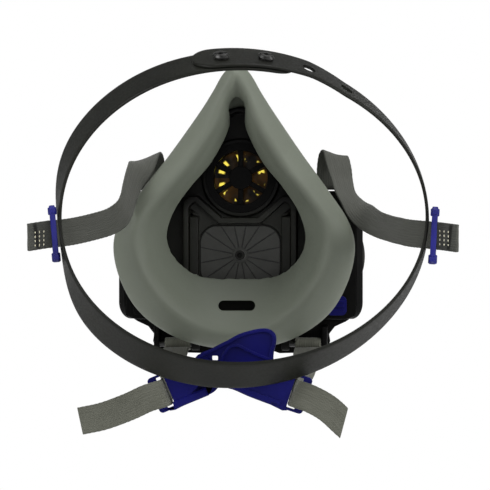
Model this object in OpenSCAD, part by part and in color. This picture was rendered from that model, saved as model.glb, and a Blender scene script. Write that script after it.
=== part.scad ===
// Reusable half-mask respirator: soft face seal on a rigid body with two cartridge
// docks, a speaking diaphragm, two valves, a head cradle and a neck strap.
// Shown as worn, nose up. X runs to the wearer's right, Y forward from the face,
// Z up. The origin is the middle of the line where the seal's crest meets the cheeks.

/* [Face seal] */
// Thickness of the moulded silicone
seal_t = 2.2; // [1.8:0.1:2.4]
// Width of the chin slot
chin_slot_w = 17; // [12:1:18]
// Height of the chin slot
chin_slot_h = 4.6; // [4:0.2:5]

/* [Speaking diaphragm] */
// Height of the diaphragm's centre over the crest's centre
diaphragm_z = 16.2; // [16:0.1:16.4]
// Outer radius of the six windows
window_r = 12.7; // [12:0.1:12.9]
// Radius of the cage's hub
cage_hub_r = 5.4; // [4:0.2:6]

/* [Valves] */
// Height of the inhalation valve's hub (below zero is under the crest's centre)
inlet_z = -20; // [-20.5:0.1:-19.5]
// Width of the inhalation flap
flap_w = 37; // [34:0.5:37.5]
// Height of the inhalation flap
flap_h = 28; // [26:0.5:28.5]
// Number of fine ribs on the flap
flap_ribs = 16; // [8:2:20]

/* [Cartridge docks] */
// Radius of the cartridge bore
port_r = 13; // [12:0.1:13]
// Length of the cartridge bore
port_len = 7; // [6.5:0.5:7.5]
// Angle between a dock's axis and the X axis
dock_angle = 40; // [39:0.5:41]

/* [Webbing] */
// Width of every strap
strap_w = 12; // [10:0.5:12]
// Thickness of every strap
strap_t = 1.2; // [1:0.1:1.3]

/* [Head cradle] */
// Thickness of the plastic band
band_t = 1.4; // [1.2:0.1:1.5]
// Distance between the snap holes, along the band
snap_pitch = 18.4; // [17.5:0.1:19]
// Radius of the snap holes
snap_hole_r = 3; // [2.8:0.1:3.2]

/* [Hidden] */

$fn = 48;
eps = 0.01;
RIGHT = 1;
LEFT = -1;

// ---- Places along Y, from the wearer's side to the front ----
sleeve_end_y = 47;      // end of the seal's sleeve on the body
cup_rear_y = 40;        // rear edge of the rigid cup
flap_corner = 8;
wall_rear_y = 50;       // cup's back wall, wearer's side
wall_front_y = 52.4;    // cup's back wall, front side
ridge_y = 39.5;         // rear edge of the ridge round the valve

// ---- Face seal: hand-set stations from the nose (first) to the chin (last) ----
// Each list follows one line of the seal; one half is given, the other is mirrored.
seal_root = [
    [0, 42, 50], [6, 42, 48], [10, 42, 43], [15.5, 42, 35], [26, 42, 20],
    [36, 42, 6], [44, 42, -6], [46.5, 42, -17], [44, 42, -29], [37.5, 42, -40],
    [27, 42, -48], [15, 42, -52.5], [0, 42, -54.5]
];
seal_rim = [
    [0, 20, 66.6], [6.2, 20, 63], [10, 21, 54.6], [17.3, 21, 42.8], [30.3, 17, 24.3],
    [42.4, 11, 8.2], [51.3, 8, -5], [54.2, 8, -16.4], [51.2, 9, -30.7], [43.4, 12, -44.4],
    [31, 16, -54.3], [17.4, 19, -59.8], [0, 20, -62]
];
seal_crest = [
    [0, 14, 62.8], [3.4, 14, 60], [6.6, 15, 53], [11.6, 14, 40.5], [23.3, 9, 22.2],
    [34.7, 4, 7.6], [43, 1, -4], [45.3, 0, -14.5], [41.5, 1, -28.5], [34, 4, -39.6],
    [25, 8, -47.9], [13.6, 11, -54], [0, 12, -56.4]
];
seal_lip = [
    [0, 20, 52.6], [2.6, 20, 51.2], [4.2, 21.5, 47.3], [4.4, 24, 38], [11.8, 22, 23.2],
    [20.9, 18, 12], [27.9, 15, 1.7], [31.7, 14, -8.9], [31, 17, -17], [27, 22, -23.6],
    [20, 27, -29], [11.3, 29, -31], [0, 30, -31.1]
];

// ---- Rigid body, docks and pins ----
cup_wall = 2.2;
barrel_r = 15.2;        // bore that holds the diaphragm stack
barrel_wall = 3;
inlet_pos = [0, wall_rear_y, inlet_z];
dock_centre = [43, 57.5, -20.5];
dock_rear = 17.5;       // dock plate's reach towards the wearer
dock_front = 18.5;      // and towards the front
dock_t = 4;
port_wall = 2.4;
housing_front_y = dock_centre[1] + dock_front*cos(dock_angle);
cover_front_y = housing_front_y + 3.3;
housing_top_z = 9;
housing_bottom_z = -50;
duct_start = [0, 46, -43];
duct_tilt = 30;         // the exhalation duct points forward and this far down
duct_r = 10.5;
duct_wall = 2;
duct_len = 20;
guard_r = 14;           // outer radius of the exhalation guard
cover_ring_r = 20.5;    // front cover's ring round the diaphragm barrel
latch_stem_r = 2.5;
button_z = -18;
stem_r = 3;
running_gap = 0.08;
strap_pivot = [41.6, 50.5, 13.5];
lug_pivot = [30, 47, -61.5];
pin_r = 1.5;
loop_gap = 0.3;
latch_pos = [45, 44.4, -43.5];

// ---- Harness ----
band_near = [6.3, -68, -3.1];   // centre of the edge nearest the back of the head
band_near_r = [79, 61.1];
band_far = [1.9, -52, -4.6];    // centre of the edge nearest the mask
band_far_r = [83.8, 70.9];
band_turn = -4.5;               // the band's lean to one side
band_pull = 6.9;                // how far the left strap pulls the far edge in
band_lift = 30.5;               // how much further forward the band's sides lie
overlap_gap = 0.2;

// ================= helpers =================

// Catmull-Rom point between b and c
function cr(a, b, c, d, t) =
    0.5 * (2*b + (c - a)*t + (2*a - 5*b + 4*c - d)*t*t + (3*b - a - 3*c + d)*t*t*t);

// Open spline through the points p, n steps for each span
function spline(p, n) = [
    for (i = [0 : len(p) - 2]) for (k = [0 : n - 1])
        cr(i == 0 ? 2*p[0] - p[1] : p[i-1], p[i], p[i+1],
           i == len(p) - 2 ? 2*p[i+1] - p[i] : p[i+2], k/n),
    p[len(p) - 1]
];

// Closed loop from a half line that starts and ends at x = 0, evenly smooth at both ends
function half_spline(p, n) = let (
        q = concat([flip_x(p[1])], p, [flip_x(p[len(p) - 2])])
    ) [
        for (i = [1 : len(q) - 3]) for (k = [0 : n - 1])
            cr(q[i-1], q[i], q[i+1], q[i+2], k/n),
        p[len(p) - 1]
    ];
function flip_x(v) = [-v[0], v[1], v[2]];
function full_loop(half) = concat(
    half, [for (i = [len(half) - 2 : -1 : 1]) flip_x(half[i])]
);
function unit(v) = v / norm(v);
function flat_xz(p) = [for (q = p) [q[0], q[2]]];

// Outline moved inwards by d, for a clockwise or counter-clockwise loop (side = 1 or -1)
function inset(p, d, side = 1) = let (n = len(p)) [
    for (i = [0 : n - 1]) let (
        along = unit(p[(i + 1) % n] - p[(i + n - 1) % n])
    ) p[i] + side * d * [along[1], -along[0]]
];

// Solid from two equal grids [ring][point]; the rings close on each other if wrap is true
module skin(outer, inner, wrap) {
    n = len(outer);
    m = len(outer[0]);
    last = wrap ? n - 1 : n - 2;
    function at(side, i, j) = (side*n + (i % n)) * m + j;
    points = concat([for (r = outer) each r], [for (r = inner) each r]);
    faces = concat(
        [for (i = [0 : last]) for (j = [0 : m - 2]) each [
            [at(0, i, j), at(0, i + 1, j), at(0, i + 1, j + 1)],
            [at(0, i, j), at(0, i + 1, j + 1), at(0, i, j + 1)],
            [at(1, i, j), at(1, i + 1, j + 1), at(1, i + 1, j)],
            [at(1, i, j), at(1, i, j + 1), at(1, i + 1, j + 1)]
        ]],
        [for (i = [0 : last]) each [
            [at(0, i, 0), at(1, i, 0), at(1, i + 1, 0)],
            [at(0, i, 0), at(1, i + 1, 0), at(0, i + 1, 0)],
            [at(0, i, m - 1), at(1, i + 1, m - 1), at(1, i, m - 1)],
            [at(0, i, m - 1), at(0, i + 1, m - 1), at(1, i + 1, m - 1)]
        ]],
        wrap ? [] : [for (j = [0 : m - 2]) each [
            [at(0, 0, j), at(0, 0, j + 1), at(1, 0, j + 1)],
            [at(0, 0, j), at(1, 0, j + 1), at(1, 0, j)],
            [at(0, n - 1, j), at(1, n - 1, j + 1), at(0, n - 1, j + 1)],
            [at(0, n - 1, j), at(1, n - 1, j), at(1, n - 1, j + 1)]
        ]]
    );
    polyhedron(points, faces, convexity = 8);
}

// Flat webbing: a rectangle w by t swept along points p, its width along the vectors d
module ribbon(p, d, w, t) {
    n = len(p);
    function along(i) = unit(p[min(i + 1, n - 1)] - p[max(i - 1, 0)]);
    function across(i) = unit(d[i] - along(i) * (d[i] * along(i)));
    function normal(i) = cross(across(i), along(i));
    outer = [for (i = [0 : n - 1]) [p[i] - across(i)*w/2 + normal(i)*t/2,
                                    p[i] + across(i)*w/2 + normal(i)*t/2]];
    inner = [for (i = [0 : n - 1]) [p[i] - across(i)*w/2 - normal(i)*t/2,
                                    p[i] + across(i)*w/2 - normal(i)*t/2]];
    skin(outer, inner, false);
}

// Round wire of radius w wound to radius r, along Z from 0 to h
module coil(r, w, turns, h) {
    sides = 6;
    steps = 12 * turns;
    rings = [for (i = [0 : steps]) let (a = 360 * turns * i / steps)
        [for (k = [0 : sides - 1]) let (b = 360 * k / sides)
            [(r + w*cos(b)) * cos(a), (r + w*cos(b)) * sin(a), w + (h - 2*w)*i/steps + w*sin(b)]]];
    faces = concat(
        [for (i = [0 : steps - 1]) for (k = [0 : sides - 1]) let (
            a = i*sides + k,
            b = i*sides + (k + 1) % sides
        ) each [[a, b, b + sides], [a, b + sides, a + sides]]],
        [[for (k = [sides - 1 : -1 : 0]) k], [for (k = [0 : sides - 1]) steps*sides + k]]
    );
    polyhedron([for (r = rings) each r], faces, convexity = 8);
}

// Round bar or disc along Y, from y0 to y1
module along_y(r, y0, y1, x = 0, z = 0) {
    translate([x, y1, z])
        rotate([90, 0, 0]) cylinder(r = r, h = y1 - y0);
}
// Round bar along X, from x0 to x1
module along_x(r, x0, x1, y, z) {
    translate([x0, y, z])
        rotate([0, 90, 0]) cylinder(r = r, h = x1 - x0);
}
// Extrude an outline drawn in X and Z, from y0 to y1
module slab(y0, y1) {
    translate([0, y1, 0])
        rotate([90, 0, 0]) linear_extrude(y1 - y0) children();
}
module round_rect(w, h, r) {
    for (a = [0, 90]) square([a == 0 ? w : w - 2*r, a == 0 ? h - 2*r : h], center = true);
    for (x = [-1, 1], z = [-1, 1]) translate([x*(w/2 - r), z*(h/2 - r)]) circle(r);
}

// ================= face seal =================

function seal_lines(n) = let (
        root = full_loop(half_spline(seal_root, n)),
        rim = full_loop(half_spline(seal_rim, n)),
        crest = full_loop(half_spline(seal_crest, n)),
        lip = full_loop(half_spline(seal_lip, n)),
        sleeve = [for (q = root) [q[0], sleeve_end_y, q[2]]]
    ) [for (i = [0 : len(root) - 1]) concat(
        [sleeve[i]],
        spline([root[i], 0.55*root[i] + 0.45*rim[i] + seal_belly(root[i], rim[i]),
                rim[i], crest[i], 0.5*crest[i] + 0.5*lip[i] - [0, 1.2, 0], lip[i]], 3)
    )];
// The flank between root and rim bows outwards a little
function seal_belly(a, b) = let (d = b - a) 2.2 * unit([d[0], 0, d[2]] + [0, 0, eps]);
// Silicone surface at half a wall from its middle (side is 1 outside, -1 inside)
function seal_wall(g, side) = let (n = len(g), m = len(g[0])) [
    for (i = [0 : n - 1]) [for (j = [0 : m - 1]) let (
        u = g[(i + 1) % n][j] - g[(i + n - 1) % n][j],
        v = g[i][min(j + 1, m - 1)] - g[i][max(j - 1, 0)]
    ) g[i][j] + side * seal_t/2 * unit(cross(v, u))]
];

module face_seal() {
    grid = seal_lines(3);
    color("#5f655c") difference() {
        skin(seal_wall(grid, 1), seal_wall(grid, -1), true);
        slab(10, 34) translate([0, -43]) hull() {
            for (x = [-1, 1]) translate([x*(chin_slot_w - chin_slot_h)/2, 0])
                circle(chin_slot_h/2, $fn = 24);
        }
    }
}

// ================= rigid body =================

body_loop = flat_xz(full_loop(half_spline(seal_root, 3)));
module body_outline(d) { polygon(inset(body_loop, d)); }

module ridge_area(d) {
    difference() {
        translate([0, -16]) round_rect(53 - 2*d, 47 - 2*d, 4);
        polygon([for (p = [[8.5 + 0.38*d, 0], [42.5 + 0.38*d, 30]], x = [-1, 1])
            [(p[1] > 0 ? x : -x)*p[0], p[1] - 2.6 - d]]);
    }
}
module flap_recess(d) {
    translate([0, inlet_z - 0.5]) round_rect(flap_w + 1.4 - 2*d, flap_h + 1.4 - 2*d, flap_corner + 0.7 - d);
}
module duct(r, from, to) {
    translate(duct_start) rotate([-90 - duct_tilt, 0, 0])
        translate([0, 0, from]) cylinder(r = r, h = to - from);
}

module mask_body() {
    color("#1c1c19") difference() {
        union() {
            difference() {
                slab(cup_rear_y, wall_front_y) body_outline(seal_t/2 - 0.02);
                slab(cup_rear_y - 1, wall_rear_y) body_outline(seal_t/2 + cup_wall);
            }
            slab(ridge_y, wall_rear_y + eps) difference() {
                ridge_area(0);
                ridge_area(2.7);
            }
            slab(45, wall_rear_y + eps) difference() {
                ridge_area(1);
                flap_recess(0);
            }
            for (x = [-21.6, 21.6]) slab(42.6, 46) translate([x, -20]) square([4.2, 36], center = true);
            along_y(barrel_r + barrel_wall, 47, 66, z = diaphragm_z);
            difference() {
                duct(duct_r + duct_wall, 0, duct_len);
                translate([-50, 0, -100]) cube([100, 48.5, 100]);
            }
        }
        slab(wall_rear_y - 1, wall_front_y + 1) flap_recess(0);
        along_y(barrel_r, 40, 56, z = diaphragm_z);
        along_y(barrel_r - 2, 50, 70, z = diaphragm_z);
        difference() {
            duct(duct_r, -10, duct_len + 1);
            translate([-50, 0, -100]) cube([100, 49.5, 100]);
        }
    }
}

// ================= front housing =================

// Place children in a dock's own frame: +Z outwards, +X towards the wearer, +Y down
module at_dock(side) {
    s = sin(dock_angle);
    c = cos(dock_angle);
    mirror([side == LEFT ? 1 : 0, 0, 0]) multmatrix([
        [s, 0, c, dock_centre[0]],
        [-c, 0, s, dock_centre[1]],
        [0, -1, 0, dock_centre[2]],
        [0, 0, 0, 1]
    ]) children();
}
dock_h = housing_top_z - housing_bottom_z;
module dock_plate_outline(d = 0) {
    translate([(dock_rear - dock_front)/2, 0]) round_rect(dock_rear + dock_front - 2*d, dock_h - 2*d, 8);
}

module housing_block() {
    u = [sin(dock_angle), -cos(dock_angle)];
    c = [dock_centre[0], dock_centre[1]];
    rear = c + u*dock_rear;
    front = c - u*dock_front;
    intersection() {
        translate([0, 0, housing_bottom_z]) linear_extrude(dock_h) polygon([
            [-rear[0], rear[1]], [rear[0], rear[1]],
            [front[0], front[1]], [-front[0], front[1]]
        ]);
        slab(40, 80) translate([0, (housing_top_z + housing_bottom_z)/2])
            round_rect(2*rear[0] + 4, dock_h, 8);
    }
}

module manifold_housing() {
    color("#22221f") difference() {
        housing_block();
        slab(30, wall_front_y + 0.1) body_outline(-seal_t/2 - 0.5);
        along_y(barrel_r + barrel_wall + 0.2, 40, 90, z = diaphragm_z);
        along_y(cover_ring_r + 0.2, 66, 90, z = diaphragm_z);
        duct(duct_r + duct_wall + 0.2, 0, 60);
        duct(guard_r + 0.2, 13.8, 60);
        inlet_chamber();
        for (side = [LEFT, RIGHT]) {
            at_dock(side) translate([0, 0, -1.5]) cylinder(r = port_r - 0.8, h = 4);
            mirror([side == LEFT ? 1 : 0, 0, 0])
                along_y(latch_stem_r + running_gap, 40, 52, x = latch_pos[0], z = latch_pos[2]);
        }
        along_y(stem_r + running_gap, 60, 80, z = button_z);
        for (p = screw_places) along_y(1.55, 67.5, 80, x = p[0], z = p[1]);
    }
}
// Space in which the air of both cartridges meets in front of the inhalation valve
module inlet_chamber() {
    translate([-20.5, 50, -31]) cube([41, 19.2, 24.4]);
    along_x(8.6, -43, 43, 61.3, dock_centre[2]);
}

module cover_shape(d) {
    hull() {
        slab(housing_front_y, housing_front_y + 0.8) cover_face(d);
        slab(housing_front_y, cover_front_y - d) cover_face(d + 2.5);
    }
}
module cover_face(d) {
    translate([0, diaphragm_z]) circle(cover_ring_r - d, $fn = 32);
    translate([0, -19]) round_rect(56 - 2*d, 28 - 2*d, 6, $fn = 32);
}

module front_cover() {
    color("#2b2c29") difference() {
        union() {
            cover_shape(0);
            along_y(cover_ring_r, 66.1, housing_front_y + eps, z = diaphragm_z);
        }
        cover_shape(1.8);
        along_y(18.7, 60, housing_front_y + 1, z = diaphragm_z);
        along_y(8.7, 60, 90, z = button_z);
        for (i = [-3 : 3]) translate([4.4*i - 1.1, 60, diaphragm_z - grille_half(i)])
            cube([2.2, 30, 2*grille_half(i)]);
        for (p = screw_places) along_y(1.6, 60, 90, x = p[0], z = p[1]);
        slab(60, housing_front_y + 0.2) translate([0, -20]) square([70, 50], center = true);
    }
}
function grille_half(i) = sqrt(14.5*14.5 - 4.4*4.4*i*i);
screw_places = [for (x = [-1, 1], z = [-8.5, -29.5]) [23.5*x, z]];

module housing_screws() {
    color("#3a3b3c") for (p = screw_places) difference() {
        union() {
            along_y(2.6, cover_front_y, cover_front_y + 1.6, x = p[0], z = p[1]);
            along_y(1.5, housing_front_y - 4, cover_front_y + eps, x = p[0], z = p[1]);
        }
        translate([p[0], cover_front_y + 1.7, p[1]]) for (a = [0, 90])
            rotate([0, a, 0]) cube([3.4, 2, 0.7], center = true);
    }
}

// ================= speaking diaphragm =================

module diaphragm_cage() {
    color("#161613") difference() {
        union() {
            along_y(barrel_r - 0.05, 47, 54.4, z = diaphragm_z);
            along_y(16.4, 45.8, 47, z = diaphragm_z);
        }
        difference() {
            along_y(window_r, 40, 60, z = diaphragm_z);
            along_y(cage_hub_r, 47.2, 50, z = diaphragm_z);
            for (a = [30 : 60 : 330]) translate([0, 47.6, diaphragm_z]) rotate([0, a, 0])
                translate([0, 0, -1.2]) cube([window_r + 1, 2.2, 2.4]);
        }
    }
}
module diaphragm_film() {
    color("#c9921c") along_y(14.6, 54.4, 54.8, z = diaphragm_z);
}
module diaphragm_gasket() {
    color("#20201e") difference() {
        along_y(15, 54.8, 56, z = diaphragm_z);
        along_y(13.2, 54, 57, z = diaphragm_z);
    }
}

// ================= valves =================

module inhalation_seat() {
    color("#2a2b28") difference() {
        union() {
            slab(45.3, 52.4) flap_recess(0.05);
            along_y(1.6, 41.6, 46, z = inlet_z);
            along_y(2.3, 40.9, 42.2, z = inlet_z);
        }
        difference() {
            slab(44, 54) translate([0, inlet_z - 0.5]) round_rect(flap_w - 5, flap_h - 5, flap_corner - 2.5);
            along_y(4, 43.9, 47.8, z = inlet_z);
            for (a = [0 : 60 : 300]) translate([0, 45.3, inlet_z]) rotate([0, a, 0])
                translate([0, 0, -0.9]) cube([30, 2.5, 1.8]);
        }
        along_y(1.1, 40, 44.5, z = inlet_z);
    }
}

module inhalation_flap() {
    color("#3c3d38") difference() {
        union() {
            slab(44.2, 45) translate([0, inlet_z - 0.5]) round_rect(flap_w, flap_h, flap_corner);
            along_y(3.6, 43.6, 44.3, z = inlet_z);
            intersection() {
                slab(43.9, 44.3) translate([0, inlet_z - 0.5])
                    round_rect(flap_w - 2.4, flap_h - 2.4, flap_corner - 1.2);
                for (i = [0 : flap_ribs - 1]) translate([0, 43.9, inlet_z])
                    rotate([0, 360*(i + 0.5)/flap_ribs, 0])
                        translate([3, 0, -0.25]) cube([24, 0.4, 0.5]);
            }
        }
        along_y(1.68, 40, 50, z = inlet_z);
    }
}

module at_duct() {
    translate(duct_start) rotate([-90 - duct_tilt, 0, 0]) children();
}
module exhalation_seat() {
    color("#2a2b28") at_duct() {
        difference() {
            translate([0, 0, 13]) cylinder(r = duct_r - 0.05, h = 3);
            difference() {
                translate([0, 0, 12]) cylinder(r = duct_r - 1.8, h = 6);
                translate([0, 0, 12]) cylinder(r = 3, h = 6);
                for (a = [0 : 60 : 300]) rotate([0, 0, a])
                    translate([0, -0.7, 13]) cube([12, 1.4, 3]);
            }
        }
        translate([0, 0, 15]) cylinder(r = 1.5, h = 4);
        translate([0, 0, 18.6]) cylinder(r = 2.2, h = 0.9);
    }
}
module exhalation_flap() {
    color("#4a4b46") at_duct() difference() {
        union() {
            translate([0, 0, 16.3]) cylinder(r = duct_r - 0.8, h = 0.7);
            translate([0, 0, 16.3]) cylinder(r = 3, h = 1);
        }
        translate([0, 0, 15]) cylinder(r = 1.58, h = 5);
    }
}
module exhalation_cover() {
    color("#2b2c29") at_duct() difference() {
        translate([0, 0, 14]) cylinder(r = guard_r, h = 9.5);
        translate([0, 0, 13]) cylinder(r = duct_r + duct_wall + 0.02, h = 7);
        translate([0, 0, 19]) cylinder(r = 12, h = 3);
        for (a = [0 : 30 : 330]) rotate([0, 0, a])
            translate([5, -1, 20]) cube([6, 2, 6]);
    }
}

// ================= cartridge docks =================

module cartridge_dock(side) {
    color("#1a1a17") at_dock(side) difference() {
        union() {
            linear_extrude(dock_t) dock_plate_outline();
            cylinder(r = port_r + port_wall, h = port_len);
            for (y = [-1, 1]) translate([0, y*21 + (y > 0 ? 2 : -2), 0]) {
                translate([-7, -1.5, 0]) cube([14, 3, port_len]);
                translate([-7, y > 0 ? -3.5 : -1.5, port_len - 2]) cube([14, 5, 2]);
            }
        }
        translate([0, 0, -1]) cylinder(r = port_r, h = port_len + 2);
        translate([0, 0, dock_t - 1.2]) difference() {
            linear_extrude(3) dock_plate_outline(2.4);
            translate([0, 0, -1]) linear_extrude(5) dock_plate_outline(4.4);
        }
    }
}
module port_gasket(side) {
    color("#30302d") at_dock(side) translate([0, 0, dock_t]) difference() {
        cylinder(r = port_r + 3.7, h = 1.8);
        translate([0, 0, -1]) cylinder(r = port_r + port_wall + 0.02, h = 4);
    }
}

module dock_latch(side) {
    color("#2b2c86") mirror([side == LEFT ? 1 : 0, 0, 0]) translate(latch_pos) {
        rotate([90, 0, 0]) translate([0, 0, 2.9]) linear_extrude(1.4)
            round_rect(9.5, 9, 2.4);
        along_y(latch_stem_r, -3, 3.2);
        for (z = [-2, 0, 2]) translate([-3.5, -5, z - 0.4]) cube([7, 0.8, 0.8]);
    }
}
module latch_spring(side) {
    color("#b9bcc0") mirror([side == LEFT ? 1 : 0, 0, 0])
        translate(latch_pos + [0, 3.3, 0]) rotate([-90, 0, 0]) coil(2, 0.3, 4, 4);
}

// ================= seal check button =================

module seal_check_button() {
    color("#2b2c86") {
        along_y(stem_r, 57.5, 78, z = button_z);
        along_y(4.6, 67.4, 69, z = button_z);
        difference() {
            along_y(8.2, 76.2, 80, z = button_z);
            along_y(6.8, 79.2, 81, z = button_z);
        }
        along_y(2.2, 79, 79.9, z = button_z);
    }
}
module shutter_pad() {
    color("#30302d") slab(55, 57.5) translate([0, button_z - 1]) round_rect(36, 20, 4);
}
module button_spring() {
    color("#b9bcc0") translate([0, housing_front_y, button_z]) rotate([-90, 0, 0])
        coil(5, 0.35, 3, 4.5);
}

// ================= strap carriers =================

// Round-ended cheek in the Y-Z plane, from x0 to x1, round a pin at y, z, with its foot at foot_z
module cheek(x0, x1, y, z, foot_z, r) {
    along_x(r, x0, x1, y, z);
    translate([x0, y - r, min(z, foot_z)]) cube([x1 - x0, 2*r, abs(z - foot_z)]);
}

// Half of the skirt under the housing that carries the lower lugs, as seen from the wearer's side
yoke_outline = [
    [0, -50], [0, -56], [13, -64.4], [18, -66.2], [26, -66], [36, -65], [40.6, -63.6],
    [41.8, -60.5], [41.2, -57.2], [44, -53.6], [49, -51.3], [51, -50]
];
module strap_yoke() {
    color("#191916") difference() {
        for (side = [LEFT, RIGHT]) mirror([side == LEFT ? 1 : 0, 0, 0]) {
            for (x = [[19.3, 3.6], [38, 2.6]]) {
                along_x(3.2, x[0], x[0] + x[1], lug_pivot[1] + 0.8, lug_pivot[2]);
                translate([x[0], lug_pivot[1] - 2.4, lug_pivot[2]]) cube([x[1], 9, 8.4]);
            }
            slab(52.8, 57) polygon(yoke_outline);
            translate([0, 52.8, housing_bottom_z - 2.6]) cube([40.4, 12, 2.6]);
        }
        duct(guard_r + 0.2, 0, 60);
        for (side = [LEFT, RIGHT]) mirror([side == LEFT ? 1 : 0, 0, 0])
            along_x(pin_r, 19, 42, lug_pivot[1], lug_pivot[2]);
    }
}
module lug_pins() {
    color("#141412") for (side = [-1, 1]) mirror([side < 0 ? 1 : 0, 0, 0])
        along_x(pin_r, 19.3, 40.6, lug_pivot[1], lug_pivot[2]);
}
guide_in = strap_pivot[0] - strap_w/2 - 2.1;
guide_out = strap_pivot[0] + strap_w/2 + 2.1;
module strap_guides() {
    color("#191916") for (side = [LEFT, RIGHT]) mirror([side == LEFT ? 1 : 0, 0, 0]) difference() {
        union() {
            for (x = [guide_in, guide_out - 1.7])
                cheek(x, x + 1.7, strap_pivot[1], strap_pivot[2], housing_top_z, 3.2);
            translate([guide_in, strap_pivot[1] - 2.5, housing_top_z])
                cube([guide_out - guide_in, 6, 1]);
        }
        along_x(pin_r, 31, 52, strap_pivot[1], strap_pivot[2]);
    }
}
module strap_pins() {
    color("#141412") for (side = [LEFT, RIGHT]) mirror([side == LEFT ? 1 : 0, 0, 0])
        along_x(pin_r, guide_in, guide_out, strap_pivot[1], strap_pivot[2]);
}

// Sewn eye of a strap round a pin along X
module strap_eye(x, y, z, w) {
    difference() {
        along_x(pin_r + loop_gap + strap_t, x - w/2, x + w/2, y, z);
        along_x(pin_r + loop_gap, x - w, x + w, y, z);
    }
}

// ================= harness straps =================

// Each row: a point on the strap's middle line, then the direction of its width
upper_left_path = [
    [[-41.6, 47.9, 14.5], [1, 0, 0]], [[-41.5, 46.6, 19.5], [1, 0, 0.1]],
    [[-41.3, 42, 23.6], [0.95, 0.05, 0.35]], [[-41.4, 34, 25], [0.9, 0.2, 0.42]],
    [[-42, 24.5, 24], [0.82, 0.38, 0.32]], [[-43.6, 15.5, 20.2], [0.7, 0.55, 0.05]],
    [[-45.9, 8, 14.6], [0.5, 0.7, -0.25]], [[-47.2, 2, 8.8], [0.4, 0.66, -0.5]],
    [[-48, -3.4, 3.2], [0.34, 0.52, -0.7]], [[-49.8, -8, -1.2], [0.28, 0.32, -0.9]],
    [[-54.4, -11.6, -4.8], [0.15, 0.1, -1]],
    [[-62, -18, -7.4], [0, 0, -1]], [[-70, -25.5, -9.4], [0, 0, -1]],
    [[-77.5, -30, -10.4], [0, 0, -1]], [[-82.2, -32, -11], [0, 0, -1]],
    [[-88, -35, -12], [0, 0, -1]]
];
upper_right_path = [
    [[41.6, 47.9, 14.5], [1, 0, 0]], [[41.7, 46.8, 20], [1, 0, -0.1]],
    [[42.6, 42.6, 25.3], [1, 0, -0.3]], [[44.6, 38, 26.2], [1, 0.1, -0.3]],
    [[46.4, 34.8, 21], [0.95, 0.3, -0.2]], [[47.7, 32.6, 15], [0.85, 0.5, -0.2]],
    [[49.5, 29.4, 8.8], [0.8, 0.6, -0.1]], [[53.3, 25.2, 3.4], [0.7, 0.5, 0.2]],
    [[58.2, 18.2, -1.8], [0.45, 0.35, 0.8]], [[63.4, 8.4, -5.4], [0.15, 0.1, 1]],
    [[68.8, -3, -7.6], [0, 0, 1]], [[77, -19, -9.8], [0, 0, 1]],
    [[83, -27, -10.6], [0, 0, 1]], [[87.2, -30, -11], [0, 0, 1]],
    [[92.8, -32.3, -11.6], [0, 0, 1]], [[99.3, -35.6, -12.5], [0, 0, 1]]
];
neck_left_path = [
    [[-29.4, 44.7, -61.9], [1, 0, 0]], [[-29.4, 36, -63.6], [1, 0, 0]],
    [[-29.3, 18, -67], [0.95, 0, -0.3]], [[-29.4, -4, -71.4], [0.7, 0, -0.7]],
    [[-28.7, -22, -76], [0.5, 0, -0.9]], [[-27.5, -31, -78], [0.4, 0, -0.92]],
    [[-26.9, -37, -79], [0.38, 0, -0.92]], [[-28.9, -41.8, -79.8], [0.35, 0, -0.93]],
    [[-35, -42.6, -81.7], [0.3, 0, -0.95]], [[-43, -42.2, -84.4], [0.3, 0, -0.95]],
    [[-54, -41, -88], [0.3, 0, -0.95]], [[-64.3, -40, -91.4], [0.25, 0, -0.97]]
];
neck_right_path = [
    [[31.6, 44.7, -61.9], [1, 0, 0]], [[31.6, 36, -63.6], [1, 0, 0]],
    [[31.6, 18, -67], [0.95, 0, -0.3]], [[31.2, -4, -71], [0.7, 0, -0.7]],
    [[29.9, -22, -75.2], [0.1, 0, -1]], [[29, -33, -77.6], [-0.2, 0, -0.97]],
    [[28.5, -40, -78.7], [-0.3, 0, -0.95]], [[30.1, -45.2, -79.5], [-0.35, 0, -0.94]],
    [[35.6, -46.4, -82.2], [-0.45, 0, -0.9]], [[43, -44.6, -87.2], [-0.58, 0, -0.82]],
    [[50.7, -42, -92.4], [-0.6, 0, -0.8]]
];

module strap_along(path, n) {
    ribbon(spline([for (q = path) q[0]], n), spline([for (q = path) unit(q[1])], n),
           strap_w, strap_t);
}
// Folded end, sewn flat on the strap's own tip
module folded_end(a, b, back) {
    ribbon([a, b], [[0, 0, 1], [0, 0, 1]], strap_w - 0.4, strap_t + 2*back);
}

module upper_strap(side) {
    path = side == LEFT ? upper_left_path : upper_right_path;
    color("#464843") {
        strap_along(path, 3);
        strap_eye(path[0][0][0], strap_pivot[1], strap_pivot[2], strap_w);
        folded_end(0.75*path[len(path) - 2][0] + 0.25*path[len(path) - 1][0],
                   path[len(path) - 1][0], strap_t/2);
    }
}
module neck_strap(side) {
    path = side == LEFT ? neck_left_path : neck_right_path;
    color("#66675f") {
        strap_along(path, 3);
        strap_eye(path[0][0][0], lug_pivot[1], lug_pivot[2], strap_w);
    }
}

// ================= head cradle =================

// Edge point of the band at angle a (0 at the right, 90 at the top), s = 0 near, 1 far;
// lift moves it outwards, for the layer on top of the overlap
function band_edge(a, s, lift = 0) = let (
        c = (1 - s)*band_near + s*band_far,
        r = (1 - s)*band_near_r + s*band_far_r + [lift, lift],
        pull = s * band_pull * exp(-pow((a - 191.6)/24.5, 2))
    ) [
        c[0] + r[0]*cos(a + band_turn) + pull,
        c[1] + band_lift*pow(cos(a), 2),
        c[2] + r[1]*sin(a + band_turn)
    ];

band_start = 77;                // lower layer's end, right of the top
band_end = 360 + 107;         // upper layer's end, left of the top
lap = band_t + overlap_gap;
// The upper layer lies outside the lower one from a little before the overlap
function band_rise(a) = lap * min(1, max(0, (a - 420)/12));
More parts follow.
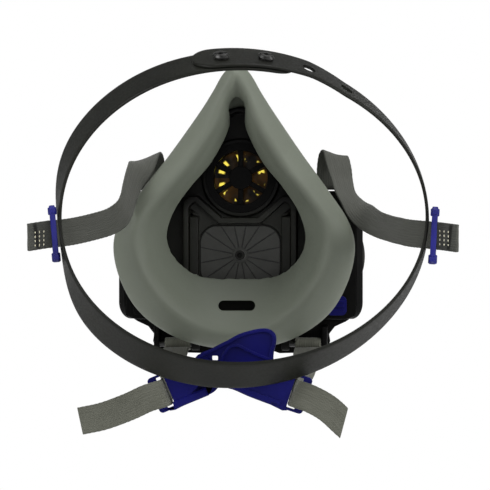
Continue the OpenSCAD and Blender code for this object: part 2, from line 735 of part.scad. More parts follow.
// Part of the width left near a rounded end, at the angle a
function band_round(a) = let (
        reach = 6.5,
        d = min(a - band_start, band_end - a)
    ) d >= reach ? 1 : sqrt(max(0.06, 1 - pow(1 - d/reach, 2)));
band_angles = concat(
    [77, 77.6, 79, 81, 83.5], [for (a = [88 : 6 : 460]) a], [462, 464, 465.8, 467]
);

function band_row(a, t_side) = let (
        lift = band_rise(a) + (t_side > 0 ? band_t : 0),
        w = band_round(a)
    ) [for (s = [0.5 - w/2, 0.5, 0.5 + w/2]) band_edge(a, s, lift)];

// Point on the band's middle line; angles of the two studs and the two spare holes
function snap_angle(i) = 98.2 - i * 360 * snap_pitch / (2*PI*81.4);
module at_snap(i, lift) {
    p = band_edge(snap_angle(i), 0.5, lift);
    q = band_edge(snap_angle(i) + 1, 0.5, lift);
    along = unit(q - p);
    wide = unit(band_edge(snap_angle(i), 1, lift) - band_edge(snap_angle(i), 0, lift));
    n = cross(wide, along);
    multmatrix([
        [wide[0], along[0], n[0], p[0]],
        [wide[1], along[1], n[1], p[1]],
        [wide[2], along[2], n[2], p[2]],
        [0, 0, 0, 1]
    ]) children();
}

module cradle_band() {
    color("#33342f") difference() {
        skin([for (a = band_angles) band_row(a, 1)], [for (a = band_angles) band_row(a, 0)], false);
        for (i = [0 : 3]) at_snap(i, 0) translate([0, 0, -6]) cylinder(r = snap_hole_r, h = 12, $fn = 24);
        for (side = [LEFT, RIGHT]) strap_slot(side);
    }
}
// Middle of the slot through which an upper strap passes
function slot_pos(side) = side == LEFT ? [-77, -29.2, -10.6] : [87, -30.2, -10.6];
module strap_slot(side) {
    translate(slot_pos(side) - [6, 2.4, strap_w/2 + 1]) cube([12, 5.6, strap_w + 2]);
}
module cradle_studs() {
    color("#20201e") for (i = [0, 1]) at_snap(i, 0) difference() {
        union() {
            translate([0, 0, -1]) cylinder(r = snap_hole_r + 1, h = 0.7);
            translate([0, 0, -0.4]) cylinder(r = snap_hole_r - 0.1, h = 4.2);
            translate([0, 0, 3.7]) cylinder(r1 = snap_hole_r + 0.6, r2 = snap_hole_r - 0.4, h = 1.3);
        }
        translate([0, 0, 1]) cylinder(r = 1.1, h = 5);
        translate([-0.35, -5, 2.4]) cube([0.7, 10, 4]);
    }
}

// ================= adjusters =================

// Where a strap passes through its adjuster
function adjuster_pos(side) = side == LEFT ? [-77.2, -30, -10.4] : [89.1, -31, -11.2];
module strap_adjuster(side) {
    turn = side == LEFT ? 9 : -2;
    color("#2b2c86") translate(adjuster_pos(side)) rotate([0, side == LEFT ? -5 : 3, turn]) {
        difference() {
            rotate([0, 90, 0]) translate([0, 0, -1.2]) linear_extrude(2.4)
                translate([0, -2.1]) round_rect(25, 12.4, 2.4);
            translate([-5, -2.7, -strap_w/2 - 0.9]) cube([10, 5.4, strap_w + 1.8]);
            translate([-5, -6.5, -strap_w/2 - 0.9]) cube([10, 2, strap_w + 1.8]);
        }
        for (z = [-11.4, 9]) translate([-1.2, -8.7, z]) cube([2.4, 1.6, 2.4]);
        translate([-1.9, -6.6, 8.4]) cube([3.8, 5, 3.2]);
        translate([-1.9, -6.6, -12.2]) cube([3.8, 5, 3.8]);
    }
}

// ================= neck buckle =================

clasp_pos = [-9.5, -72];         // X and Z of the peg and its window
left_slot = [-27.3, -79];
right_slot = [29.2, -79];
left_turn = 23;
right_turn = -18;
left_outline = closed_spline([
    [-25.8, -74], [-23, -69.6], [-18.5, -66], [-13, -65.6], [-7.5, -66.6], [-3.8, -70], [-3.4, -75],
    [-5.4, -78.3], [-8.8, -80.4], [-17, -83.8], [-25, -87.2], [-26.4, -81]
]);
right_outline = closed_spline([
    [-14.5, -67.2], [-13.8, -63.8], [-11.5, -62], [-7.5, -60.3], [-3.4, -58.1], [0.5, -56.2],
    [4.8, -53.8], [11.2, -51.9], [15.9, -51.3], [18.8, -52], [20.8, -54.2], [21, -57.6],
    [20, -61.5], [20, -65.5], [22.5, -68.8], [26.5, -70.8], [27.6, -78], [25.6, -86.6],
    [18.5, -84.1], [9.1, -80.6], [2.1, -77.6], [-5, -76.2], [-11, -75.6], [-14.3, -72.6]
]);
function closed_spline(p) = let (s = spline(concat([p[len(p) - 1]], p, [p[0], p[1]]), 3))
    [for (i = [3 : len(s) - 5]) s[i]];
// Points d to the left of an open line
function beside(p, d) = let (n = len(p)) [
    for (i = [0 : n - 1]) let (t = unit(p[min(i + 1, n - 1)] - p[max(i - 1, 0)]))
        p[i] + d*[-t[1], t[0]]
];
module raised_line(p, w) {
    right = beside(p, -w/2);
    polygon(concat(beside(p, w/2), [for (i = [len(p) - 1 : -1 : 0]) right[i]]));
}
module webbing_slot(p, turn) {
    translate(p) rotate(turn) square([3.6, strap_w + 2], center = true);
}
module slot_frame(p, turn) {
    hull() for (x = [-3.9, 3.9], z = [-1, 1])
        translate(p) rotate(turn) translate([x, z*(strap_w/2 + 0.4)]) circle(1.7, $fn = 32);
}

module neck_buckle_left() {
    color("#242560") {
        slab(-39.5, -36.5) difference() {
            union() {
                slot_frame(left_slot, left_turn);
                polygon(left_outline);
            }
            webbing_slot(left_slot, left_turn);
            translate(clasp_pos) round_rect(9, 6.4, 1);
        }
        slab(-40.3, -39.5 + eps) raised_line([[-23.6, -84.8], [-18, -82.4], [-9.4, -78.9]], 2.8);
    }
}
module neck_buckle_right() {
    arch = [[-2.6, -66], [-1.7, -62.9], [0.5, -59.9], [2.9, -58.8], [5.2, -59], [9.8, -61.2],
            [14.2, -63.2], [18.6, -64.8]];
    rim = inset(right_outline, 1);
    color("#242560") {
        slab(-43.4, -40.4) difference() {
            union() {
                slot_frame(right_slot, right_turn);
                polygon(right_outline);
            }
            webbing_slot(right_slot, right_turn);
            translate([-5.4, -64.1]) round_rect(2.6, 2, 0.5);
        }
        slab(-44.2, -43.4 + eps) {
            raised_line([for (i = [54 : 72 + 42]) rim[i % len(rim)]], 1.2);
            raised_line(spline(arch, 2), 1.2);
            raised_line([[5, -77.4], [12, -79.5], [22.8, -83.4]], 1.6);
        }
        slab(-40.5, -35.6) translate(clasp_pos) round_rect(6.5, 4.4, 1);
    }
}

// ================= assembly =================

face_seal();
mask_body();
manifold_housing();
front_cover();
diaphragm_cage();
diaphragm_film();
diaphragm_gasket();
inhalation_seat();
inhalation_flap();
exhalation_seat();
exhalation_flap();
exhalation_cover();
cartridge_dock(LEFT);  // cartridge_dock_left
cartridge_dock(RIGHT);  // cartridge_dock_right
port_gasket(LEFT);  // port_gasket_left
port_gasket(RIGHT);  // port_gasket_right
dock_latch(LEFT);  // dock_latch_left
dock_latch(RIGHT);  // dock_latch_right
latch_spring(LEFT);  // latch_spring_left
latch_spring(RIGHT);  // latch_spring_right
seal_check_button();
shutter_pad();
button_spring();
strap_yoke();
lug_pins();
strap_guides();
strap_pins();
housing_screws();
cradle_band();
cradle_studs();
upper_strap(LEFT);  // upper_strap_left
upper_strap(RIGHT);  // upper_strap_right
strap_adjuster(LEFT);  // strap_adjuster_left
strap_adjuster(RIGHT);  // strap_adjuster_right
neck_strap(LEFT);  // neck_strap_left
neck_strap(RIGHT);  // neck_strap_right
neck_buckle_left();
neck_buckle_right();
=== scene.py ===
"""Looks of the half-mask respirator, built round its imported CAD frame.

Lengths of the pieces are written in millimetres, as in the CAD source, and turned into
metres where a mesh is made. X runs to the wearer's right, Y forward, Z up.
"""
import math

import bmesh
import bpy
import numpy as np
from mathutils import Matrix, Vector
from mathutils.bvhtree import BVHTree


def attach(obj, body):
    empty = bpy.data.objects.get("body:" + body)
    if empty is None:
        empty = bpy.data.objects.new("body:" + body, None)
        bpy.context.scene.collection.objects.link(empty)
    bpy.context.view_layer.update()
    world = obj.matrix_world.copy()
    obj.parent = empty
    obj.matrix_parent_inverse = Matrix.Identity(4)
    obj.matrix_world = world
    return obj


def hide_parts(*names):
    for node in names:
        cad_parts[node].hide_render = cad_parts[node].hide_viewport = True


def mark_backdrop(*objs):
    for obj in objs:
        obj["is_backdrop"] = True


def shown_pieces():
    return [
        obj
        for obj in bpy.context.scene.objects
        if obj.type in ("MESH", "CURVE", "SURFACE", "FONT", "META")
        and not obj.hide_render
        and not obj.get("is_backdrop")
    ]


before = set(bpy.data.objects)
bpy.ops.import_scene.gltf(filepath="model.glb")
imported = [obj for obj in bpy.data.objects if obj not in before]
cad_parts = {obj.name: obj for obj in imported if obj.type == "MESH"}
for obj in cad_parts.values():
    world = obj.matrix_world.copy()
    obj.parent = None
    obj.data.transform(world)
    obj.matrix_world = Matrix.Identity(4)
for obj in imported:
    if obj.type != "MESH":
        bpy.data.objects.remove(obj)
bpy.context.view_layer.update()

MM = 0.001
SHARP = 50                              # degrees past which an edge stays crisp
HALF_ROUND = np.radians(np.linspace(90, -90, 7))[1:-1]      # angles round a soft edge

# ---------------------------------------------------------------- camera and image points

IMAGE_W = IMAGE_H = 490
IMAGE_SIDE = max(IMAGE_W, IMAGE_H)
LENS = 180.0
SENSOR = 36.0
CAMERA_DISTANCE = 1100.0                # from the aim point
CAMERA_TURN = math.radians(3.5)         # round Z, so that it stands to the wearer's right
AIM = (4.95, 0.0, -15.3)

# Where things show in the photograph's 490 x 490 frame, in pixels from its top left. Only
# right_adjuster isn't the photograph's own: it is where the CAD's adjuster shows, since
# that one has to stand clear of the band to tilt.
EDGES = {"left": 23.8, "right": 459.2, "top": 48.6, "bottom": 438.4}
POINTS = {
    "diaphragm_hub": (240.5, 178.0),
    "flap_hub": (240.0, 255.0),
    "chin_slot": (237.3, 305.5),
    "left_stud": (221.0, 58.5),
    "right_stud": (268.0, 60.0),
    "near_spare_hole": (307.0, 69.0),
    "far_spare_hole": (346.0, 86.0),
    "left_stitches": (39.5, 238.5),
    "right_stitches": (444.0, 238.0),
    "left_adjuster": (54.5, 234.0),
    "right_adjuster": (434.0, 235.5),
    "right_latch": (339.0, 306.0),
}


def make_camera():
    """Camera on the wearer's side of the mask, level, aimed at AIM."""
    data = bpy.data.cameras.new("camera")
    data.lens, data.sensor_width, data.sensor_fit = LENS, SENSOR, "AUTO"
    data.clip_start, data.clip_end = 0.05, 20
    camera = bpy.data.objects.new("camera", data)
    forward = Vector((-math.sin(CAMERA_TURN), math.cos(CAMERA_TURN), 0))
    camera.rotation_mode = "QUATERNION"
    camera.rotation_quaternion = forward.to_track_quat("-Z", "Y")
    camera.location = (Vector(AIM) - forward * CAMERA_DISTANCE) * MM
    bpy.context.scene.collection.objects.link(camera)
    bpy.context.scene.camera = camera
    bpy.context.view_layer.update()
    return camera


CAMERA = make_camera()


def to_image(points):
    """Pixels at which points (metres) show: the pinhole rule in the camera's own axes."""
    turned = np.atleast_2d(points) @ np.array(CAMERA.matrix_world.inverted().to_3x3()).T
    local = turned + np.array(CAMERA.matrix_world.inverted().translation)
    scale = IMAGE_SIDE * LENS / SENSOR / -local[:, 2]
    return np.column_stack([
        IMAGE_W / 2 - CAMERA.data.shift_x * IMAGE_SIDE + local[:, 0] * scale,
        IMAGE_H / 2 + CAMERA.data.shift_y * IMAGE_SIDE - local[:, 1] * scale,
    ])


def on_surface(pixel, tree):
    """Where the ray through a pixel meets the surface in tree, or the place nearest the ray."""
    ray = Vector((
        pixel[0] - IMAGE_W / 2 + CAMERA.data.shift_x * IMAGE_SIDE,
        IMAGE_H / 2 - pixel[1] + CAMERA.data.shift_y * IMAGE_SIDE,
        -IMAGE_SIDE * LENS / SENSOR,
    ))
    start = CAMERA.matrix_world.translation
    ray = (CAMERA.matrix_world.to_quaternion() @ ray).normalized()
    hit = tree.ray_cast(start, ray)[0]
    if hit is not None:
        return hit
    reach = CAMERA_DISTANCE * MM
    near = [tree.find_nearest(start + ray * (reach * t)) for t in np.linspace(0.9, 1.1, 41)]
    return min(near, key=lambda found: found[3])[0]


# ---------------------------------------------------------------- curves and meshes

def spline(rows, steps):
    """Open Catmull-Rom curve through rows, steps points for each span and the last row."""
    p = np.asarray(rows, float)
    ends = np.vstack([2 * p[0] - p[1], p, 2 * p[-1] - p[-2]])
    t = (np.arange(steps) / steps)[None, :, None]
    a, b, c, d = (ends[i:len(p) - 1 + i, None, :] for i in range(4))
    curve = 0.5 * (2 * b + (c - a) * t + (2 * a - 5 * b + 4 * c - d) * t ** 2
                   + (3 * b - a - 3 * c + d) * t ** 3)
    return np.vstack([curve.reshape(-1, p.shape[1]), p[-1]])


def loop_from_half(half, steps):
    """Closed loop, even about X = 0, from the stations of one half, nose first."""
    h = np.asarray(half, float)
    mirror = np.array([-1.0, 1.0, 1.0])
    q = np.vstack([h[1] * mirror, h, h[-2] * mirror])
    side = spline(q, steps)[steps:-steps]
    return np.vstack([side, side[-2:0:-1] * mirror])


def unit(v):
    """Vectors of length one along the last axis."""
    return v / np.maximum(np.linalg.norm(v, axis=-1, keepdims=True), 1e-12)


def grid_faces(rows, columns, wrap_rows, wrap_columns):
    """Quads of a rows x columns grid of points, closed on itself where wrap says so."""
    i = np.arange(rows if wrap_rows else rows - 1)[:, None]
    j = np.arange(columns if wrap_columns else columns - 1)[None, :]
    i2, j2 = (i + 1) % rows, (j + 1) % columns
    quad = [i * columns + j, i2 * columns + j, i2 * columns + j2, i * columns + j2]
    return np.stack(np.broadcast_arrays(*quad), -1).reshape(-1, 4)


def end_caps(rings, k):
    """The two end faces of a tube that is made of rings of k points."""
    return [list(range(k)), list(range(rings * k - 1, (rings - 1) * k - 1, -1))]


def prism_faces(k):
    """Faces of a prism: its first end is the first k points and its second the next k."""
    sides = [(i, (i + 1) % k, k + (i + 1) % k, k + i) for i in range(k)]
    return sides + [tuple(range(k))[::-1], tuple(range(k, 2 * k))]


def ramp(value, start, end):
    """0 up to start, 1 from end on, and a straight line between."""
    return np.clip((value - start) / (end - start), 0, 1)


def shade_smooth(mesh, sharp=None):
    """Smooth shading, but for edges sharper than sharp degrees where that is given."""
    mesh.polygons.foreach_set("use_smooth", np.ones(len(mesh.polygons), bool))
    if sharp is not None:
        mesh.set_sharp_from_angle(angle=math.radians(sharp))


def new_piece(name, points, faces, material, uv=None, sharp=None):
    """Mesh object from points in millimetres; uv gives a place on the surface per point."""
    mesh = bpy.data.meshes.new(name)
    mesh.from_pydata((np.asarray(points) * MM).tolist(), [], [list(f) for f in faces])
    if uv is not None:
        corners = np.zeros(len(mesh.loops), int)
        mesh.loops.foreach_get("vertex_index", corners)
        layer = mesh.uv_layers.new(name="surface")
        layer.data.foreach_set("uv", np.asarray(uv, np.float32)[corners].ravel())
    mesh.update()
    shade_smooth(mesh, sharp)
    mesh.materials.append(material)
    piece = bpy.data.objects.new(name, mesh)
    bpy.context.scene.collection.objects.link(piece)
    return piece


def place(piece, body, slot, *nodes):
    """The piece rides on body and stands for the CAD nodes; slot is not used."""
    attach(piece, body)
    if nodes:
        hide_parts(*nodes)
    return piece


def cut(piece, cutter):
    """Take the closed cutter out of piece for good, and drop the cutter."""
    step = piece.modifiers.new("cut", "BOOLEAN")
    step.object, step.solver, step.operation = cutter, "EXACT", "DIFFERENCE"
    bpy.context.view_layer.update()
    depsgraph = bpy.context.evaluated_depsgraph_get()
    mesh = bpy.data.meshes.new_from_object(piece.evaluated_get(depsgraph))
    piece.modifiers.remove(step)
    piece.data = mesh
    bpy.data.objects.remove(cutter)
    shade_smooth(mesh, SHARP)
    return piece


# ---------------------------------------------------------------- materials

def srgb(r, g, b):
    """Linear colour from a screen colour of 0 to 255."""
    c = np.array([r, g, b]) / 255
    linear = np.where(c <= 0.04045, c / 12.92, ((c + 0.055) / 1.055) ** 2.4)
    return (*linear.tolist(), 1.0)


class Nodes:
    """Short way to add and join the nodes of one material."""

    def __init__(self, material):
        self.material = material
        self.material.use_nodes = True
        self.tree = self.material.node_tree
        self.shader = self.tree.nodes["Principled BSDF"]

    def fill(self, node, inputs):
        """Set or link the node's inputs: a name has _ for each space, a number follows a _."""
        for key, value in inputs.items():
            socket = node.inputs[int(key[1:]) if key[0] == "_" else key.replace("_", " ")]
            if isinstance(value, bpy.types.NodeSocket):
                self.tree.links.new(value, socket)
            else:
                socket.default_value = value
        return node

    def feed(self, **inputs):
        """Set or link the inputs of the material's own shader."""
        self.fill(self.shader, inputs)

    def add(self, kind, settings=None, **inputs):
        """New node of a kind, with its settings and inputs."""
        node = self.tree.nodes.new("ShaderNode" + kind)
        for key, value in (settings or {}).items():
            setattr(node, key, value)
        return self.fill(node, inputs)

    def on_object(self):
        """Place on the piece in its own metres."""
        return self.add("TexCoord").outputs["Object"]

    def noise(self, where, scale, detail=3.0):
        """Noise of about scale grains to the metre."""
        return self.add("TexNoise", Vector=where, Scale=scale, Detail=detail,
                        Roughness=0.5).outputs["Fac"]

    def spread(self, value, low, high, to_low, to_high):
        """value from low to high becomes to_low to to_high, and stays inside them."""
        node = self.add("MapRange", None, Value=value, From_Min=low, From_Max=high,
                        To_Min=to_low, To_Max=to_high)
        return node.outputs["Result"]

    def math(self, operation, a, b=0.0):
        """Result of one sum."""
        return self.add("Math", {"operation": operation}, _0=a, _1=b).outputs[0]

    def times(self, a, b):
        """a times b."""
        return self.math("MULTIPLY", a, b)

    def within(self, value, low, full, full_to, high):
        """1 for a value between full and full_to, falling to 0 at low and high."""
        return self.times(self.spread(value, low, full, 0.0, 1.0),
                          self.spread(value, full_to, high, 1.0, 0.0))

    def mix(self, factor, a, b):
        """Colour a where factor is 0 and b where it is 1."""
        return self.add("Mix", {"data_type": "RGBA"}, _0=factor, _6=a, _7=b).outputs[2]

    def bump(self, height, depth):
        """Normal of a relief that is depth metres high."""
        node = self.add("Bump", None, Height=height, Strength=1.0, Distance=depth)
        return node.outputs["Normal"]

    def polar(self, middle_z):
        """Distance and angle of a place from the Y-wise line at X 0 and Z middle_z."""
        axes = self.add("SeparateXYZ", None, Vector=self.on_object())
        x, z = axes.outputs["X"], self.math("SUBTRACT", axes.outputs["Z"], middle_z)
        square = self.math("ADD", self.times(x, x), self.times(z, z))
        return self.math("SQRT", square), self.math("ARCTAN2", z, x)

    def own_colour(self):
        """What feeds the shader's colour so far."""
        return self.shader.inputs["Base Color"].links[0].from_socket


def moulded(name, colour, shade, roughness, grain=900.0, depth=0.00003, cloud=60.0, **shader):
    """Moulded plastic or rubber: slow drift between two shades, fine grain in gloss and relief."""
    n = Nodes(bpy.data.materials.new(name))
    where = n.on_object()
    drift = n.spread(n.noise(where, cloud), 0.35, 0.65, 0.0, 1.0)
    fine = n.noise(where, grain, 2.0)
    n.feed(
        Base_Color=n.mix(drift, colour, shade),
        Roughness=n.spread(fine, 0.3, 0.7, roughness - 0.06, roughness + 0.06),
        Normal=n.bump(fine, depth),
        **shader,
    )
    return n.material


# Of the webbing, in metres on its surface map
CORD_PITCH, PICK_PITCH = 0.0011, 0.0013
CREASE_SHADE_AT = 0.0036                      # behind the turned end, where a painted shade marks the crease
SELVEDGE = (0.0049, 0.0055)             # where it begins and is full, from the middle


def webbing(name, colour, shade, thread):
    """Elastic webbing on the strap's own surface map, in metres: cords run along it, with
    close picks across it, a selvedge at each edge, and a painted shade of a crease, a dark
    line beside its turned end, where the map's second number is 0."""
    n = Nodes(bpy.data.materials.new(name))
    place_on = n.add("UVMap", {"uv_map": "surface"}).outputs["UV"]
    axes = n.add("SeparateXYZ", None, Vector=place_on)
    across, along = axes.outputs["X"], axes.outputs["Y"]
    cord = n.math("SINE", n.times(across, 2 * math.pi / CORD_PITCH))
    pick = n.math("SINE", n.times(along, 2 * math.pi / PICK_PITCH))
    stretched = n.add("CombineXYZ", None, X=across, Y=n.times(along, 0.05))
    streak = n.noise(stretched.outputs["Vector"], 2200.0, 2.0)
    speck = n.noise(place_on, 2600.0, 2.0)
    drift = n.noise(n.on_object(), 90.0)
    weave = n.math("ADD", n.times(n.times(cord, pick), 0.12),
                   n.math("ADD", n.times(streak, 0.7), n.times(speck, 0.3)))
    tone = n.spread(n.math("ADD", weave, n.times(drift, 0.4)), 0.4, 1.0, 0.0, 1.0)
    yarn = n.mix(tone, shade, colour)
    # Painted shade: a near-black line across the strap just behind its turned end, for the shadow
    # in the crease.
    off_crease_shade = n.math("ABSOLUTE", n.math("ADD", along, CREASE_SHADE_AT))
    yarn = n.mix(n.spread(off_crease_shade, 0.0005, 0.0012, 0.75, 0.0), yarn, srgb(14, 14, 12))
    edge = n.spread(n.math("ABSOLUTE", across), *SELVEDGE, 0.0, 0.45)
    n.feed(
        Base_Color=n.mix(edge, yarn, thread),
        Roughness=0.9,
        Normal=n.bump(n.math("ADD", n.times(cord, 0.4), weave), 0.00008),
        Sheen_Weight=0.12,
        Sheen_Roughness=0.5,
        Specular_IOR_Level=0.15,
    )
    return n.material


def painted_shade_above(material, dark, low, high):
    """The material's colour up to the height low, and dark above high (metres): a painted shade.
    """
    n = Nodes(material)
    where = n.add("SeparateXYZ", None, Vector=n.on_object())
    rise = n.spread(where.outputs["Z"], low, high, 0.0, 1.0)
    n.feed(Base_Color=n.mix(rise, n.own_colour(), dark))
    return material


def valve_rubber(name, colour, shade, line, shine, hub_z, ribs):
    """Moulded rubber with a painted highlight on the ring round its hub, and a painted shade
    at the feet of its ribs, dark where the distance from the nearest rib's axis, radius
    times |cos(ribs/2 x angle)| / (ribs/2), is small."""
    material = moulded(name, colour, shade, 0.5, cloud=120.0)
    n = Nodes(material)
    radius, angle = n.polar(hub_z)
    half = ribs / 2
    wave = n.math("ABSOLUTE", n.math("COSINE", n.times(angle, half)))
    off = n.times(n.times(radius, wave), 1 / half)
    painted_rib_shade = n.times(n.spread(off, 0.00008, 0.00034, 1.0, 0.0),
                    n.spread(radius, 0.0036, 0.0044, 0.0, 1.0))
    knob = n.within(radius, 0.0013, 0.0016, 0.0023, 0.0027)
    # Painted highlight on the ring round the hub, over a painted shade along the ribs' feet.
    n.feed(Base_Color=n.mix(knob, n.mix(painted_rib_shade, n.own_colour(), line), shine))
    return material


def amber_film(name, brown, amber, hub_z):
    """Brown film with painted, glowing patches, which stand for the reflections between the
    cage's spokes but not one for one: a ring of radii crossed with a band of
    |cos(3 x angle)|, broken up by noise."""
    n = Nodes(bpy.data.materials.new(name))
    radius, angle = n.polar(hub_z)
    where = n.on_object()
    wave = n.math("ABSOLUTE", n.math("COSINE", n.times(angle, 3.0)))
    flank = n.within(wave, 0.44, 0.5, 0.72, 0.84)
    ring = n.within(radius, 0.0078, 0.0088, 0.0108, 0.0116)
    patchy = n.spread(n.noise(where, 300.0, 1.0), 0.47, 0.53, 0.0, 1.0)
    glow = n.times(n.times(flank, ring), patchy)
    # Painted shade: noise and a slow turn with the angle round the hub take the brown to near
    # black.
    side = n.math("ADD", n.noise(where, 90.0, 2.0), n.times(angle, 0.04))
    brown_with_painted_shade = n.mix(n.spread(side, 0.4, 0.62, 0.0, 1.0), brown, srgb(10, 6, 2))
    n.feed(
        Base_Color=n.mix(glow, brown_with_painted_shade, amber),
        Roughness=0.3,
        Specular_IOR_Level=0.1,
        # Painted light: the whole film glows, a quarter as strongly outside the patches.
        Emission_Color=n.mix(glow, brown_with_painted_shade, amber),
        Emission_Strength=n.spread(glow, 0.0, 1.0, 0.25, 1.0),
        Normal=n.bump(n.noise(where, 260.0, 1.0), 0.0004),
    )
    return n.material


SEAL = moulded("seal_silicone", srgb(104, 109, 98), srgb(98, 103, 92), 0.55, grain=700.0,
               depth=0.000015, cloud=28.0, Specular_IOR_Level=0.3)
BLACK = moulded("black_plastic", srgb(5, 5, 4), srgb(3, 3, 3), 0.45, grain=1400.0,
                Specular_IOR_Level=0.08)
# Painted shade: the mask body goes near black above Z 6 mm, for the shade in the top of the cup.
BODY = painted_shade_above(moulded("body_plastic", srgb(47, 48, 43), srgb(40, 41, 36), 0.42,
                            grain=1400.0, Specular_IOR_Level=0.15), srgb(6, 6, 4), -0.001, 0.006)
DARK = moulded("dark_plastic", srgb(30, 31, 27), srgb(25, 26, 22), 0.48, grain=1400.0,
               Specular_IOR_Level=0.2)
PIN = moulded("pin_plastic", srgb(22, 22, 20), srgb(16, 16, 14), 0.35)
BAND = moulded("cradle_plastic", srgb(22, 23, 18), srgb(17, 18, 14), 0.45, grain=1000.0,
               depth=0.000004, cloud=40.0, Specular_IOR_Level=0.15)
BLUE = moulded("blue_plastic", srgb(28, 29, 116), srgb(22, 23, 98), 0.4, grain=1100.0,
               Specular_IOR_Level=0.25)
NAVY = moulded("navy_plastic", srgb(13, 14, 90), srgb(10, 11, 76), 0.45, grain=1100.0,
               Specular_IOR_Level=0.1)
RUBBER = moulded("dark_rubber", srgb(36, 36, 33), srgb(28, 28, 26), 0.7, Specular_IOR_Level=0.25)
FLAP_HUB_Z, FILM_HUB_Z = -0.020, 0.0162  # metres
# The ring round the flap's hub gets a painted highlight, and the lines along its ribs a painted
# shade.
VALVE = valve_rubber("valve_rubber", srgb(60, 61, 56), srgb(53, 54, 49), srgb(14, 14, 12),
                     srgb(92, 93, 88), FLAP_HUB_Z, 16)
STEEL = moulded("spring_steel", srgb(190, 192, 196), srgb(170, 172, 176), 0.3, Metallic=1.0)
SCREW = moulded("screw_steel", srgb(92, 93, 95), srgb(76, 77, 80), 0.38, Metallic=1.0)
# The glowing amber patches are painted reflections, and the near-black parts of the brown are
# painted shade.
FILM = amber_film("amber_film", srgb(70, 46, 10), srgb(255, 230, 90), FILM_HUB_Z)
UPPER_WEB = webbing("upper_webbing", srgb(84, 85, 80), srgb(66, 67, 62), srgb(72, 73, 68))
NECK_WEB = webbing("neck_webbing", srgb(102, 103, 94), srgb(83, 84, 75), srgb(87, 88, 79))
THREAD = moulded("stitch_thread", srgb(228, 224, 200), srgb(205, 198, 168), 0.8)

# ---------------------------------------------------------------- face seal

SEAL_T = 2.2                            # wall, but for its last part before the lip
LIP_T = 1.5                             # wall at the lip's free edge
THIN_FROM = 0.72                        # share of the way to the lip where the wall thins
SLEEVE_END_Y = 47.0                     # front end of the sleeve on the cup's rail
# Stations of one half of the seal's lines, from the nose down to the chin
SEAL_ROOT = [
    (0, 42, 50), (6, 42, 48), (10, 42, 43), (15.5, 42, 35), (26, 42, 20),
    (36, 42, 6), (44, 42, -6), (46.5, 42, -17), (44, 42, -29), (37.5, 42, -40),
    (27, 42, -48), (15, 42, -52.5), (0, 42, -54.5),
]
SEAL_RIM = [
    (0, 20, 66.2), (5.2, 20, 62.6), (10.6, 21, 53.6), (17.8, 21, 42.4), (30.3, 17, 24.3),
    (42.4, 11, 8.2), (51.3, 8, -5), (54.2, 8, -16.4), (51.2, 9, -30.7), (43.4, 12, -44.4),
    (31, 16, -54.3), (17.4, 19, -59.8), (0, 20, -62),
]
SEAL_CREST = [
    (0, 14, 62.2), (3, 14, 59.4), (6.8, 15, 52.4), (11.8, 14, 40.3), (23.3, 9, 22.2),
    (34.7, 4, 7.6), (43, 1, -4), (45.3, 0, -14.5), (41.5, 1, -28.5), (34, 4, -39.6),
    (25, 8, -47.9), (13.6, 11, -54), (0, 12, -56.4),
]
SEAL_LIP = [
    (0, 20, 52.6), (2.6, 20, 51.2), (4.2, 21.5, 47.3), (4.4, 24, 38), (11.8, 22, 23.2),
    (20.9, 18, 12), (27.9, 15, 1.7), (31.7, 14, -8.9), (31, 17, -17), (27, 22, -23.6),
    (20, 27, -29), (11.3, 29, -31), (0, 30, -31.1),
]
SEAL_RIGHT = 0.968                      # the photo shows its right side a little narrower
CREST_RISE = (0.06, 0.3, 0.5, 0.3, 0.06)  # of the soft line below the cheeks, across it
CREST_LOW = (12, -2)                    # Z where that line begins and is full
RIPPLE = 0.16                           # of the lip's trim line
RIPPLE_LOW = (-6, -26)                  # Z where the ripple begins and is full
CHIN_SLOT = (17.0, 4.6, -43.0)          # width, height, and Z of its middle
CHIN_SLOT_Y = (34.0, 8.0)               # where its cutter ends and begins


def seal_surface(around, across):
    """Middle surface of the silicone: at each place around the loop a Catmull-Rom curve runs
    from the sleeve's root over a slightly bowed flank, the rim and the crest to the lip. Below
    the cheeks the crest stands up as a soft line."""
    root, rim, crest, lip = (
        loop_from_half(line, around) for line in (SEAL_ROOT, SEAL_RIM, SEAL_CREST, SEAL_LIP))
    for line in (rim, crest):
        line[:, 0] *= np.where(line[:, 0] > 0, SEAL_RIGHT, 1.0)
    out = (rim - root) * [1, 0, 1] + [0, 0, 0.01]
    belly = 0.55 * root + 0.45 * rim + 2.2 * unit(out)
    fold = 0.5 * crest + 0.5 * lip - [0, 1.2, 0]
    lines = np.stack([root, belly, rim, crest, fold, lip])
    flat = spline(lines.reshape(len(lines), -1), across)
    curve = flat.reshape(len(flat), len(root), 3).transpose(1, 0, 2)
    low = ramp(crest[:, 2], *CREST_LOW)
    for step, rise in enumerate(CREST_RISE, -2):
        curve[:, 3 * across + step, 1] -= rise * low
    sleeve = root.copy()
    sleeve[:, 1] = SLEEVE_END_Y
    return np.concatenate([sleeve[:, None], (0.5 * sleeve + 0.5 * root)[:, None], curve], 1)


